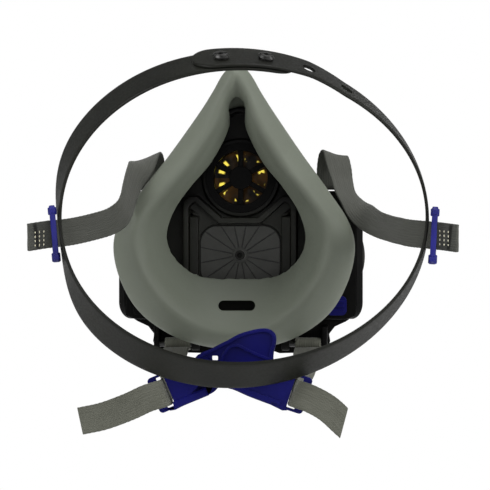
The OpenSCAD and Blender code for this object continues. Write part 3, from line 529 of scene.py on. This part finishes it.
def make_seal():
    """Shell round the middle surface: half the wall to each side along the normal, thinner
    towards the lip. The lip's free edge is a half round, and its trim line is moved in and
    out by three sines of the angle around, low down only."""
    grid = seal_surface(12, 8)
    n, m = grid.shape[:2]
    around = np.roll(grid, -1, 0) - np.roll(grid, 1, 0)
    across = np.concatenate([grid[:, 1:2] - grid[:, :1], grid[:, 2:] - grid[:, :-2],
                             grid[:, -1:] - grid[:, -2:-1]], 1)
    normal = unit(np.cross(across, around))
    wall = np.interp(np.arange(m), [0, THIN_FROM * m, m - 1], [SEAL_T, SEAL_T, LIP_T])
    wall = wall[None, :, None]
    turn = np.linspace(0, 2 * np.pi, n, endpoint=False)
    waves = np.sin(47 * turn) + 0.7 * np.sin(83 * turn + 1) + np.sin(31 * turn + 2)
    ripple = RIPPLE * ramp(grid[:, -1, 2], *RIPPLE_LOW) * waves
    tip_way = unit(across[:, -1])
    tip = grid[:, -1] - tip_way * (LIP_T / 2 - ripple[:, None])
    grid = np.concatenate([grid[:, :-1], tip[:, None]], 1)
    outer = grid + normal * wall / 2
    inner = grid - normal * wall / 2
    round_off = np.linspace(0, np.pi, 8)[1:-1]
    edge = tip[:, None] + LIP_T / 2 * (
        np.cos(round_off)[None, :, None] * normal[:, -1:]
        + np.sin(round_off)[None, :, None] * tip_way[:, None])
    ring = np.concatenate([outer, edge, inner[:, ::-1]], 1)
    faces = grid_faces(n, ring.shape[1], True, True)
    seal = new_piece("seal_shell", ring.reshape(-1, 3), faces, SEAL, sharp=SHARP)
    return cut(seal, slot_cutter(*CHIN_SLOT))


def slot_cutter(width, height, z):
    """Round-ended prism along Y: an outline of two half circles, carried over CHIN_SLOT_Y."""
    turn = np.linspace(-np.pi / 2, np.pi / 2, 17)
    reach, r = (width - height) / 2, height / 2
    right = np.column_stack([reach + r * np.cos(turn), z + r * np.sin(turn)])
    left = np.column_stack([-reach - r * np.cos(turn), z - r * np.sin(turn)])
    outline = np.vstack([right, left])
    points = np.vstack([np.insert(outline, 1, y, axis=1) for y in CHIN_SLOT_Y])
    return new_piece("slot_cutter", points, prism_faces(len(outline)), SEAL)


place(make_seal(), "facepiece", "seal_silicone", "face_seal")

# ---------------------------------------------------------------- webbing

STRAP_W, STRAP_T = 12.0, 1.2
EYE_R = 2.4                             # middle of the webbing's turn round a pin
EYE_ROWS = 14                           # rows of that turn
UPPER_PIN = (50.5, 13.5)                # Y and Z of the pins that the straps turn on
LUG_PIN = (47.0, -61.5)
UPPER_EYE = (500, 175)                  # degrees of the turn, from its free end to the strap
LUG_EYE = (600, 275)
FOLD_REACH = 10.0                       # length of the upper straps' turned end
FOLD_AIR = 0.08                         # half the gap between the two layers there
SLANT_REACH = 12                        # last part of a strap, over which it leans
NECK_SLANT = {"left": 0.0, "right": 0.55}
FRAY = 0.06                             # how far a selvedge wavers
# Each row: a point on the strap's middle line, then the direction of its width
UPPER_LEFT = [
    (-41.5, 46.6, 19.5, 1, 0, 0.1), (-41.3, 42, 23.6, 0.95, 0.05, 0.35),
    (-41.4, 34, 25, 0.9, 0.2, 0.42), (-42, 24.5, 24, 0.82, 0.38, 0.32),
    (-43.6, 15.5, 20.2, 0.7, 0.55, 0.05), (-45.9, 8, 14.6, 0.5, 0.7, -0.25),
    (-47.2, 2, 8.8, 0.4, 0.66, -0.5), (-48, -3.4, 3.2, 0.34, 0.52, -0.7),
    (-49.8, -8, -1.2, 0.28, 0.32, -0.9), (-54.4, -11.6, -4.8, 0.15, 0.1, -1),
    (-62, -18, -7.4, 0, 0, -1), (-70, -25.5, -9.4, 0, 0, -1), (-77.5, -30, -10.4, 0, 0, -1),
    (-82.2, -32, -11, 0, 0, -1), (-88, -35, -12, 0, 0, -1),
]
UPPER_RIGHT = [
    (41.7, 46.8, 20, 1, 0, -0.1), (42.6, 42.6, 25.3, 1, 0, -0.3),
    (44.6, 38, 26.2, 1, 0.1, -0.3), (46.4, 34.8, 21, 0.95, 0.3, -0.2),
    (47.7, 32.6, 15, 0.85, 0.5, -0.2), (49.5, 29.4, 8.8, 0.8, 0.6, -0.1),
    (53.3, 25.2, 3.4, 0.7, 0.5, 0.2), (58.2, 18.2, -1.8, 0.45, 0.35, 0.8),
    (63.4, 8.4, -5.4, 0.15, 0.1, 1), (68.8, -3, -7.6, 0, 0, 1), (77, -19, -9.8, 0, 0, 1),
    (83, -27, -10.6, 0, 0, 1), (87.2, -30, -11, 0, 0, 1), (92.8, -32.3, -11.6, 0, 0, 1),
    (99.3, -35.6, -12.5, 0, 0, 1),
]
NECK_LEFT = [
    (-29.4, 36, -63.6, 1, 0, 0), (-29.3, 18, -67, 0.95, 0, -0.3),
    (-29.4, -4, -71.4, 0.7, 0, -0.7), (-28.7, -22, -76, 0.5, 0, -0.9),
    (-27.5, -31, -78, 0.4, 0, -0.92), (-26.9, -37, -79, 0.38, 0, -0.92),
    (-28.9, -41.8, -79.8, 0.35, 0, -0.93), (-35, -42.6, -81.7, 0.3, 0, -0.95),
    (-43, -42.2, -85.4, 0.36, 0, -0.93), (-54, -41, -89.5, 0.28, 0, -0.96),
    (-64.3, -40, -91.8, 0.2, 0, -0.98),
]
NECK_RIGHT = [
    (31.6, 36, -63.6, 1, 0, 0), (31.6, 18, -67, 0.95, 0, -0.3), (31.2, -4, -71, 0.7, 0, -0.7),
    (29.2, -22, -75.2, 0.1, 0, -1), (28.4, -33, -77.6, -0.2, 0, -0.97),
    (28.1, -40, -78.7, -0.3, 0, -0.95), (29.8, -45.2, -79.3, -0.35, 0, -0.94),
    (35.6, -46.4, -81.2, -0.4, 0, -0.92), (43, -44.6, -85.4, -0.52, 0, -0.85),
    (50.2, -42, -92, -0.65, 0, -0.76),
]


def eye_rows(path, pin, degrees):
    """Rows that carry the webbing round its pin, between two angles, where 0 points forward
    and 90 up, at the strap's own X."""
    turn = np.radians(np.linspace(*degrees, EYE_ROWS))
    rows = np.zeros((len(turn), 6))
    rows[:, 0] = path[0][0]
    rows[:, 1] = pin[0] + EYE_R * np.cos(turn)
    rows[:, 2] = pin[1] + EYE_R * np.sin(turn)
    rows[:, 3] = 1
    return rows


def fold_rows(path, back, reach):
    """Rows that turn the strap's end over towards back and lay it on the strap for reach."""
    p = np.asarray(path, float)
    way = unit(p[-1, :3] - p[-2, :3])
    out = unit(np.asarray(back, float) - way * (np.asarray(back, float) @ way))
    r = STRAP_T / 2 + FOLD_AIR
    turn = np.radians([30, 60, 90, 120, 150, 180])
    tip = p[-1, :3] - way * (r + STRAP_T / 2)
    bend = tip + r * (np.sin(turn)[:, None] * way + (1 - np.cos(turn))[:, None] * out)
    flat = bend[-1] - way * np.linspace(0, reach, 5)[1:, None]
    rows = np.vstack([tip, bend, flat])
    return np.vstack([p[:-1], np.column_stack([rows, np.tile(p[-1, 3:], (len(rows), 1))])])


def make_strap(name, rows, material, turned=0, slant=0.0, steps=10, columns=16):
    """Ribbon of webbing: the rows' spline is its middle line, and across it a flat section
    with round selvedges is set square to the way it runs. Two shallow dips run along its
    faces, and each selvedge wavers as a sine of the run. Over SLANT_REACH the rows lean
    towards the end cut, slant being its millimetres along the strap for one across. The map
    holds metres from the row named by turned."""
    dense = spline(rows, steps)
    line, width = dense[:, :3], dense[:, 3:]
    run = np.concatenate([[0], np.cumsum(np.linalg.norm(np.diff(line, axis=0), axis=1))])
    along = unit(np.gradient(line, axis=0))
    wide = unit(width - along * (width * along).sum(1, keepdims=True))
    face = np.cross(wide, along)
    s = np.linspace(-1, 1, columns)
    half = STRAP_W / 2 - STRAP_T / 2
    thick = STRAP_T / 2 * (1 - 0.1 * np.cos(np.pi * s) ** 2)
    out, up = STRAP_T / 2 * np.cos(HALF_ROUND), STRAP_T / 2 * np.sin(HALF_ROUND)
    u = np.concatenate([half * s, half + out, half * s[::-1], -half - out])
    v = np.concatenate([thick, up, -thick, -up])
    fray = FRAY * np.sin(run[:, None] * 2.9 + 3 * np.sign(u)) * (np.abs(u) > half)
    ring = (line[:, None] + (u + fray)[:, :, None] * wide[:, None]
            + v[None, :, None] * face[:, None])
    lean = slant * ramp(run - run[-1], -SLANT_REACH, 0)
    ring += (lean[:, None] * u[None, :])[:, :, None] * along[:, None]
    count, k = ring.shape[:2]
    faces = grid_faces(count, k, False, True).tolist() + end_caps(count, k)
    from_turn = run - run[turned * steps]
    uv = np.stack(np.broadcast_arrays(u * MM, from_turn[:, None] * MM), -1).reshape(-1, 2)
    return new_piece(name, ring.reshape(-1, 3), faces, material, uv=uv, sharp=60)


UPPER_STRAPS = {}
for side, path in (("left", UPPER_LEFT), ("right", UPPER_RIGHT)):
    rows = np.vstack([eye_rows(path, UPPER_PIN, UPPER_EYE),
                      fold_rows(path, (0, 1, 0), FOLD_REACH)])
    tip = EYE_ROWS + len(path) + 1
    UPPER_STRAPS[side] = place(
        make_strap("upper_webbing_" + side, rows, UPPER_WEB, turned=tip), "cradle",
        "upper_webbing", "upper_strap_" + side)
for side, path in (("left", NECK_LEFT), ("right", NECK_RIGHT)):
    rows = np.vstack([eye_rows(path, LUG_PIN, LUG_EYE), np.asarray(path, float)])
    place(make_strap("neck_webbing_" + side, rows, NECK_WEB, slant=NECK_SLANT[side]),
          "neck_loop", "neck_webbing", "neck_strap_" + side)

# ---------------------------------------------------------------- head cradle band

# Middle, and X and Z radius, of the edge near the camera and of the far edge
BAND_NEAR, BAND_NEAR_R = np.array([6.3, -68, -3.1]), np.array([79.0, 61.1])
BAND_FAR, BAND_FAR_R = np.array([1.9, -52, -4.6]), np.array([83.8, 70.9])
BAND_TURN = math.radians(-4.5)          # the band's lean to one side
BAND_PULL = 6.9                         # how far the left strap pulls the far edge in,
PULL_AT, PULL_REACH = 191.6, 24.5       # and at what degrees: middle and reach of a bell curve
BAND_LIFT = 30.5                        # how much further forward the band's sides lie
BAND_T, BAND_W = 1.4, 16.5              # thickness and width
BAND_START, BAND_END = 77.0, 467.0      # ends of the lower and the upper layer, in degrees
BAND_END_REACH = 6.5                    # degrees over which each end is rounded
LAP = BAND_T + 0.2                      # height of the upper layer over the lower one
LAP_STEP = (420, 432)                   # degrees over which the upper layer climbs to that
SNAP_FIRST = 98.2                       # degrees of the first snap place
SNAP_SPACING, BAND_MEAN_R = 18.4, 81.4
SNAP_PITCH = 360 * SNAP_SPACING / (2 * math.pi * BAND_MEAN_R)
SNAP_PLACES = 4
SNAP_HOLE_R, HOLE_SIDES, HOLE_DEPTH = 3.0, 40, 6
STRAP_SLOTS = ((-77.0, -29.2), (87.0, -30.2))       # X and Y of their places
SLOT_LOW, SLOT_HIGH = (-6, -2.4, -17.6), (6, 3.2, -3.6)     # corners of the box cut there


def band_point(angle, s, lift):
    """Point of the band at angle (degrees, 0 right, 90 top): between the near ellipse (s 0)
    and the far one (s 1), raised by lift, its sides swept forward by the cosine squared and
    its far edge pulled in where the left strap goes through, as a bell curve of the angle."""
    a, s, lift = np.broadcast_arrays(np.radians(angle), s, lift)
    centre = (1 - s)[..., None] * BAND_NEAR + s[..., None] * BAND_FAR
    rx, rz = ((1 - s)[..., None] * BAND_NEAR_R + s[..., None] * BAND_FAR_R
              + lift[..., None]).transpose(-1, *range(a.ndim))
    pull = s * BAND_PULL * np.exp(-((np.degrees(a) - PULL_AT) / PULL_REACH) ** 2)
    return centre + np.stack([rx * np.cos(a + BAND_TURN) + pull, BAND_LIFT * np.cos(a) ** 2,
                              rz * np.sin(a + BAND_TURN)], -1)


def make_band():
    """Strip of soft plastic: rows along the angle, each a flat section with round edges; it
    narrows to a half round at both ends and the upper layer steps out over the lower one."""
    ends = BAND_END_REACH * (1 - np.cos(np.linspace(0, np.pi / 2, 15)[:-1]))
    angle = np.concatenate([BAND_START + ends, np.arange(BAND_START + BAND_END_REACH,
                            BAND_END - BAND_END_REACH, 1.5), (BAND_END - ends)[::-1]])
    gap = np.minimum(angle - BAND_START, BAND_END - angle)
    width = np.sqrt(np.maximum(0.03, 1 - np.clip(1 - gap / BAND_END_REACH, 0, 1) ** 2))
    rise = LAP * ramp(angle, *LAP_STEP)
    s = np.linspace(-1, 1, 13)
    soft = BAND_T / 2 / BAND_W          # half thickness as a share of the band's width
    out, up = soft * np.cos(HALF_ROUND), 0.5 * np.sin(HALF_ROUND)
    u = np.concatenate([s * (0.5 - soft), 0.5 - soft + out,
                        s[::-1] * (0.5 - soft), -0.5 + soft - out])
    v = np.concatenate([np.ones(len(s)), 0.5 + up, np.zeros(len(s)), 0.5 - up])
    ring = band_point(angle[:, None], 0.5 + u[None, :] * width[:, None],
                      rise[:, None] + BAND_T * v[None, :])
    count, k = ring.shape[:2]
    faces = grid_faces(count, k, False, True)[:, ::-1].tolist()
    faces += [cap[::-1] for cap in end_caps(count, k)]
    band = new_piece("cradle_strip", ring.reshape(-1, 3), faces, BAND, sharp=SHARP)
    for i in range(SNAP_PLACES):
        cut(band, hole_cutter(i))
    for x, y in STRAP_SLOTS:
        at = np.array([x, y, 0])
        cut(band, box_cutter(at + SLOT_LOW, at + SLOT_HIGH))
    return band


def snap_axes(i):
    """Middle of snap place i on the lower layer's inner face, and the way along, across and
    out of the band there."""
    angle = SNAP_FIRST - i * SNAP_PITCH
    here = band_point(angle, 0.5, 0.0)
    along = unit(band_point(angle + 1, 0.5, 0.0) - here)
    across = unit(band_point(angle, 1.0, 0.0) - band_point(angle, 0.0, 0.0))
    return here, along, across, np.cross(across, along)


def hole_cutter(i):
    """Cylinder through snap place i."""
    here, along, across, out = snap_axes(i)
    turn = np.linspace(0, 2 * np.pi, HOLE_SIDES, endpoint=False)
    rim = SNAP_HOLE_R * (np.cos(turn)[:, None] * along + np.sin(turn)[:, None] * across)
    points = np.vstack([here + rim - HOLE_DEPTH * out, here + rim + HOLE_DEPTH * out])
    return closed("hole_cutter", points, prism_faces(HOLE_SIDES))


def box_cutter(low, high):
    """Box from one corner to the other."""
    corners = np.array([[(low, high)[(i >> a) & 1][a] for a in range(3)] for i in range(8)])
    faces = [(0, 2, 3, 1), (4, 5, 7, 6), (0, 1, 5, 4), (2, 6, 7, 3), (0, 4, 6, 2), (1, 3, 7, 5)]
    return closed("slot_box", corners, faces)


def closed(name, points, faces):
    """Closed mesh whose faces are turned to point outwards."""
    piece = new_piece(name, points, faces, BAND)
    work = bmesh.new()
    work.from_mesh(piece.data)
    bmesh.ops.recalc_face_normals(work, faces=work.faces)
    work.to_mesh(piece.data)
    work.free()
    return piece


place(make_band(), "cradle", "cradle_plastic", "cradle_band")

# ---------------------------------------------------------------- CAD pieces kept as they are

FINISHES = {
    "mask_body": BODY, "manifold_housing": BLACK, "front_cover": DARK,
    "diaphragm_cage": BLACK, "diaphragm_film": FILM, "diaphragm_gasket": RUBBER,
    "inhalation_seat": DARK, "inhalation_flap": VALVE, "exhalation_seat": DARK,
    "exhalation_flap": VALVE, "exhalation_cover": DARK, "cartridge_dock_left": BLACK,
    "cartridge_dock_right": BLACK, "port_gasket_left": RUBBER, "port_gasket_right": RUBBER,
    "dock_latch_left": BLACK, "dock_latch_right": NAVY, "latch_spring_left": STEEL,
    "latch_spring_right": STEEL, "seal_check_button": BLUE, "shutter_pad": RUBBER,
    "button_spring": STEEL, "strap_yoke": BLACK, "lug_pins": PIN, "strap_guides": BLACK,
    "strap_pins": PIN, "housing_screws": SCREW, "cradle_studs": PIN,
    "strap_adjuster_left": BLUE, "strap_adjuster_right": BLUE, "neck_buckle_left": NAVY,
    "neck_buckle_right": NAVY,
}
# Rounding of the corners in millimetres, and what the nodes that aren't named here get
SOFT_EDGE = {
    "mask_body": 0.5, "manifold_housing": 0.8, "cartridge_dock_left": 0.35,
    "cartridge_dock_right": 0.35, "neck_buckle_left": 0.4, "neck_buckle_right": 0.2,
    "strap_adjuster_left": 0.35, "strap_adjuster_right": 0.35, "inhalation_flap": 0.1,
    "strap_yoke": 0.4, "front_cover": 0.25,
}
EVERY_EDGE = 0.15
UNROUNDED = {"latch_spring_left", "latch_spring_right", "button_spring", "diaphragm_film"}
UNMERGED = {"neck_buckle_right", "mask_body"}     # flat faces too hollow to be one polygon
WELD_GAP = 0.00001                      # metres
FLAT_WITHIN, CORNER_FROM = 0.6, 28      # degrees between faces that are one, or a corner


def soften(node, width, merged):
    """Join the CAD node's loose triangles, merge flat ones if asked, and round its corners."""
    mesh = node.data
    if "custom_normal" in mesh.attributes:
        mesh.attributes.remove(mesh.attributes["custom_normal"])
    shade_smooth(mesh)
    node.modifiers.new("weld", "WELD").merge_threshold = WELD_GAP
    if merged:
        flat = node.modifiers.new("flat", "DECIMATE")
        flat.decimate_type, flat.angle_limit = "DISSOLVE", math.radians(FLAT_WITHIN)
    if width > 0:
        bevel = node.modifiers.new("round", "BEVEL")
        bevel.width, bevel.segments, bevel.limit_method = width * MM, 2, "ANGLE"
        bevel.angle_limit, bevel.use_clamp_overlap = math.radians(CORNER_FROM), False
    node.modifiers.new("even", "WEIGHTED_NORMAL").weight = 80


for name, material in FINISHES.items():
    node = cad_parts[name]
    node.data.materials.clear()
    node.data.materials.append(material)
    soften(node, 0 if name in UNROUNDED else SOFT_EDGE.get(name, EVERY_EDGE),
           name not in UNROUNDED | UNMERGED)

# ---------------------------------------------------------------- stitching on the folded ends

STITCH_ROWS, ROW_GAP = 3, 2.0
STITCH_BARS, BAR_GAP = 4, 1.9           # in each row
BAR_HALF, BAR_SUNK = 0.55, 0.05         # half a bar's length, and how deep it is pressed in
BAR_R = (0.12, 0.3, 0.3, 0.12)          # radius along a bar
BAR_SIDES = 8


def surface_of(piece):
    """Tree of a finished piece's surface, modifiers included."""
    return BVHTree.FromObject(piece, bpy.context.evaluated_depsgraph_get())


def make_stitches(name, pixel, strap, way, down):
    """Block of rows of thread bars, laid on the strap's face round the image point: each bar
    is a short rounded rod along the strap's width."""
    middle = np.array(on_surface(pixel, surface_of(strap))) / MM
    way, down = unit(np.asarray(way, float)), unit(np.asarray(down, float))
    face = unit(np.cross(way, down))
    if face[1] > 0:
        face = -face
    turn = np.linspace(0, 2 * np.pi, BAR_SIDES, endpoint=False)
    circle = np.cos(turn)[None, :, None] * way + np.sin(turn)[None, :, None] * face
    rings = len(BAR_R)
    length = np.linspace(-BAR_HALF, BAR_HALF, rings)[:, None, None]
    bar = [row.tolist() for row in grid_faces(rings, BAR_SIDES, False, True)]
    bar += [cap[::-1] for cap in end_caps(rings, BAR_SIDES)]
    points, faces = [], []
    for i in range(STITCH_ROWS):
        for j in range(STITCH_BARS):
            at = (middle + way * (i - (STITCH_ROWS - 1) / 2) * ROW_GAP
                  + down * (j - (STITCH_BARS - 1) / 2) * BAR_GAP - face * BAR_SUNK)
            rod = at + length * down + np.array(BAR_R)[:, None, None] * circle
            start = len(points) * rings * BAR_SIDES
            points.append(rod.reshape(-1, 3))
            faces += [[start + corner for corner in face_of_bar] for face_of_bar in bar]
    return new_piece(name, np.vstack(points), faces, THREAD)


for side, way in (("left", (-0.9, -0.43, -0.1)), ("right", (0.9, -0.43, -0.1))):
    place(make_stitches("stitches_" + side, POINTS[side + "_stitches"], UPPER_STRAPS[side],
                        way, (0, 0, 1)), "cradle", "upper_webbing")

# ---------------------------------------------------------------- floor, backdrop and light

FLOOR_Z, FLOOR_REACH = -190, 3000
BACK_Y, BACK_TOP = 1500, 2500
WHITE_FROM, WHITE_FULL = 0.24, 0.55     # metres from the middle of the frame


def stage_material(name, near):
    """White to the camera and through film; a pale matt surface to everything else. The
    share of plain white rises from near, at WHITE_FROM, to 1 at WHITE_FULL and beyond."""
    n = Nodes(bpy.data.materials.new(name))
    path = n.add("LightPath")
    seen = n.math("MAXIMUM", path.outputs["Is Camera Ray"], path.outputs["Is Transmission Ray"])
    n.feed(Base_Color=srgb(235, 235, 235), Roughness=0.9)
    white = n.add("Emission", None, Color=(1, 1, 1, 1), Strength=1.0).outputs[0]
    away = n.add("VectorMath", {"operation": "LENGTH"}, _0=n.on_object()).outputs["Value"]
    share = n.spread(away, WHITE_FROM, WHITE_FULL, near, 1.0)
    mixed = n.add("MixShader", None, _0=n.times(seen, share), _1=n.shader.outputs[0], _2=white)
    n.tree.links.new(mixed.outputs[0], n.tree.nodes["Material Output"].inputs["Surface"])
    return n.material


def make_stage():
    """Pale floor under the mask and a plain sheet behind it."""
    r, quad = FLOOR_REACH, [(0, 1, 2, 3)]
    floor = new_piece("floor", [(x, y, FLOOR_Z) for x, y in ((-r, -r), (r, -r), (r, r), (-r, r))],
                      quad, stage_material("floor", 0.8))
    back = new_piece("backdrop", [(-r, BACK_Y, FLOOR_Z), (r, BACK_Y, FLOOR_Z),
                                  (r, BACK_Y, BACK_TOP), (-r, BACK_Y, BACK_TOP)],
                     quad, stage_material("backdrop", 1.0))
    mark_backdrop(floor, back)


def make_world(strength):
    """Even white surroundings: strength for the light they give, 1 where they are seen."""
    world = bpy.data.worlds.new("studio")
    bpy.context.scene.world = world
    world.use_nodes = True
    tree = world.node_tree
    path = tree.nodes.new("ShaderNodeLightPath")
    seen = tree.nodes.new("ShaderNodeMath")
    seen.operation = "MAXIMUM"
    tree.links.new(path.outputs["Is Camera Ray"], seen.inputs[0])
    tree.links.new(path.outputs["Is Transmission Ray"], seen.inputs[1])
    level = tree.nodes.new("ShaderNodeMapRange")
    level.inputs["To Min"].default_value = strength
    level.inputs["To Max"].default_value = 1.0
    tree.links.new(seen.outputs[0], level.inputs["Value"])
    tree.links.new(level.outputs["Result"], tree.nodes["Background"].inputs["Strength"])
    tree.nodes["Background"].inputs["Color"].default_value = (1, 1, 1, 1)


def make_lamp(name, at, size, watts):
    """Square soft box at a place in metres, turned to the mask."""
    data = bpy.data.lights.new(name, "AREA")
    data.shape, data.size, data.energy = "SQUARE", size, watts
    lamp = bpy.data.objects.new(name, data)
    lamp.location = at
    lamp.rotation_mode = "QUATERNION"
    lamp.rotation_quaternion = (Vector(AIM) * MM - Vector(at)).to_track_quat("-Z", "Y")
    bpy.context.scene.collection.objects.link(lamp)


make_stage()
make_world(0.26)
make_lamp("top_box", (0.1, -0.2, 1.1), 0.8, 8.0)
make_lamp("front_box", (0.3, -1.4, 0.3), 0.8, 3.0)
make_lamp("left_box", (-1.1, -0.55, 0.45), 0.7, 8.0)
make_lamp("right_box", (1.1, -0.55, 0.45), 0.7, 10.0)
bpy.context.scene.view_settings.view_transform = "Standard"

# ---------------------------------------------------------------- where things show

def coordinates(mesh):
    """The mesh's vertices, a row for each."""
    co = np.zeros(len(mesh.vertices) * 3, np.float32)
    mesh.vertices.foreach_get("co", co)
    return co.reshape(-1, 3).astype(float)


def shown_vertices():
    """Finished vertices of every shown piece, in metres."""
    depsgraph = bpy.context.evaluated_depsgraph_get()
    found = []
    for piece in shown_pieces():
        found.append(coordinates(piece.evaluated_get(depsgraph).to_mesh()))
        piece.evaluated_get(depsgraph).to_mesh_clear()
    return np.vstack(found)


def middle_of(piece_or_node):
    """Middle of a piece's box on the side that faces the camera."""
    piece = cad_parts.get(piece_or_node) or bpy.data.objects[piece_or_node]
    co = coordinates(piece.data)
    low, high = co.min(0), co.max(0)
    return [(low[0] + high[0]) / 2, low[1], (low[2] + high[2]) / 2]


def band_place(i, lift):
    """Snap place i in metres, lift millimetres outside the lower layer's inner face."""
    here, _, _, out = snap_axes(i)
    return tuple((here + lift * out) * MM)


def write_points():
    """Works out how far, in pixels, each named thing shows from its image point, but keeps it
    nowhere.
    """
    pixels = to_image(shown_vertices())
    low, high = pixels.min(0), pixels.max(0)
    found = {"left": low[0], "right": high[0], "top": low[1], "bottom": high[1]}
    report = {name: round(float(found[name] - at), 1) for name, at in EDGES.items()}
    places = {
        "diaphragm_hub": (0.0, 0.0476, FILM_HUB_Z), "flap_hub": (0.0, 0.0409, FLAP_HUB_Z),
        "chin_slot": (0.0, 0.0205, -0.043),
        "left_stud": band_place(0, LAP + BAND_T),
        "right_stud": band_place(1, LAP + BAND_T),
        "near_spare_hole": band_place(2, BAND_T),
        "far_spare_hole": band_place(3, BAND_T),
        "left_stitches": middle_of("stitches_left"),
        "right_stitches": middle_of("stitches_right"),
        "left_adjuster": middle_of("strap_adjuster_left"),
        "right_adjuster": middle_of("strap_adjuster_right"),
        "right_latch": middle_of("dock_latch_right"),
    }
    for name, at in POINTS.items():
        report[name] = (to_image(places[name])[0] - at).round(1).tolist()


write_points()
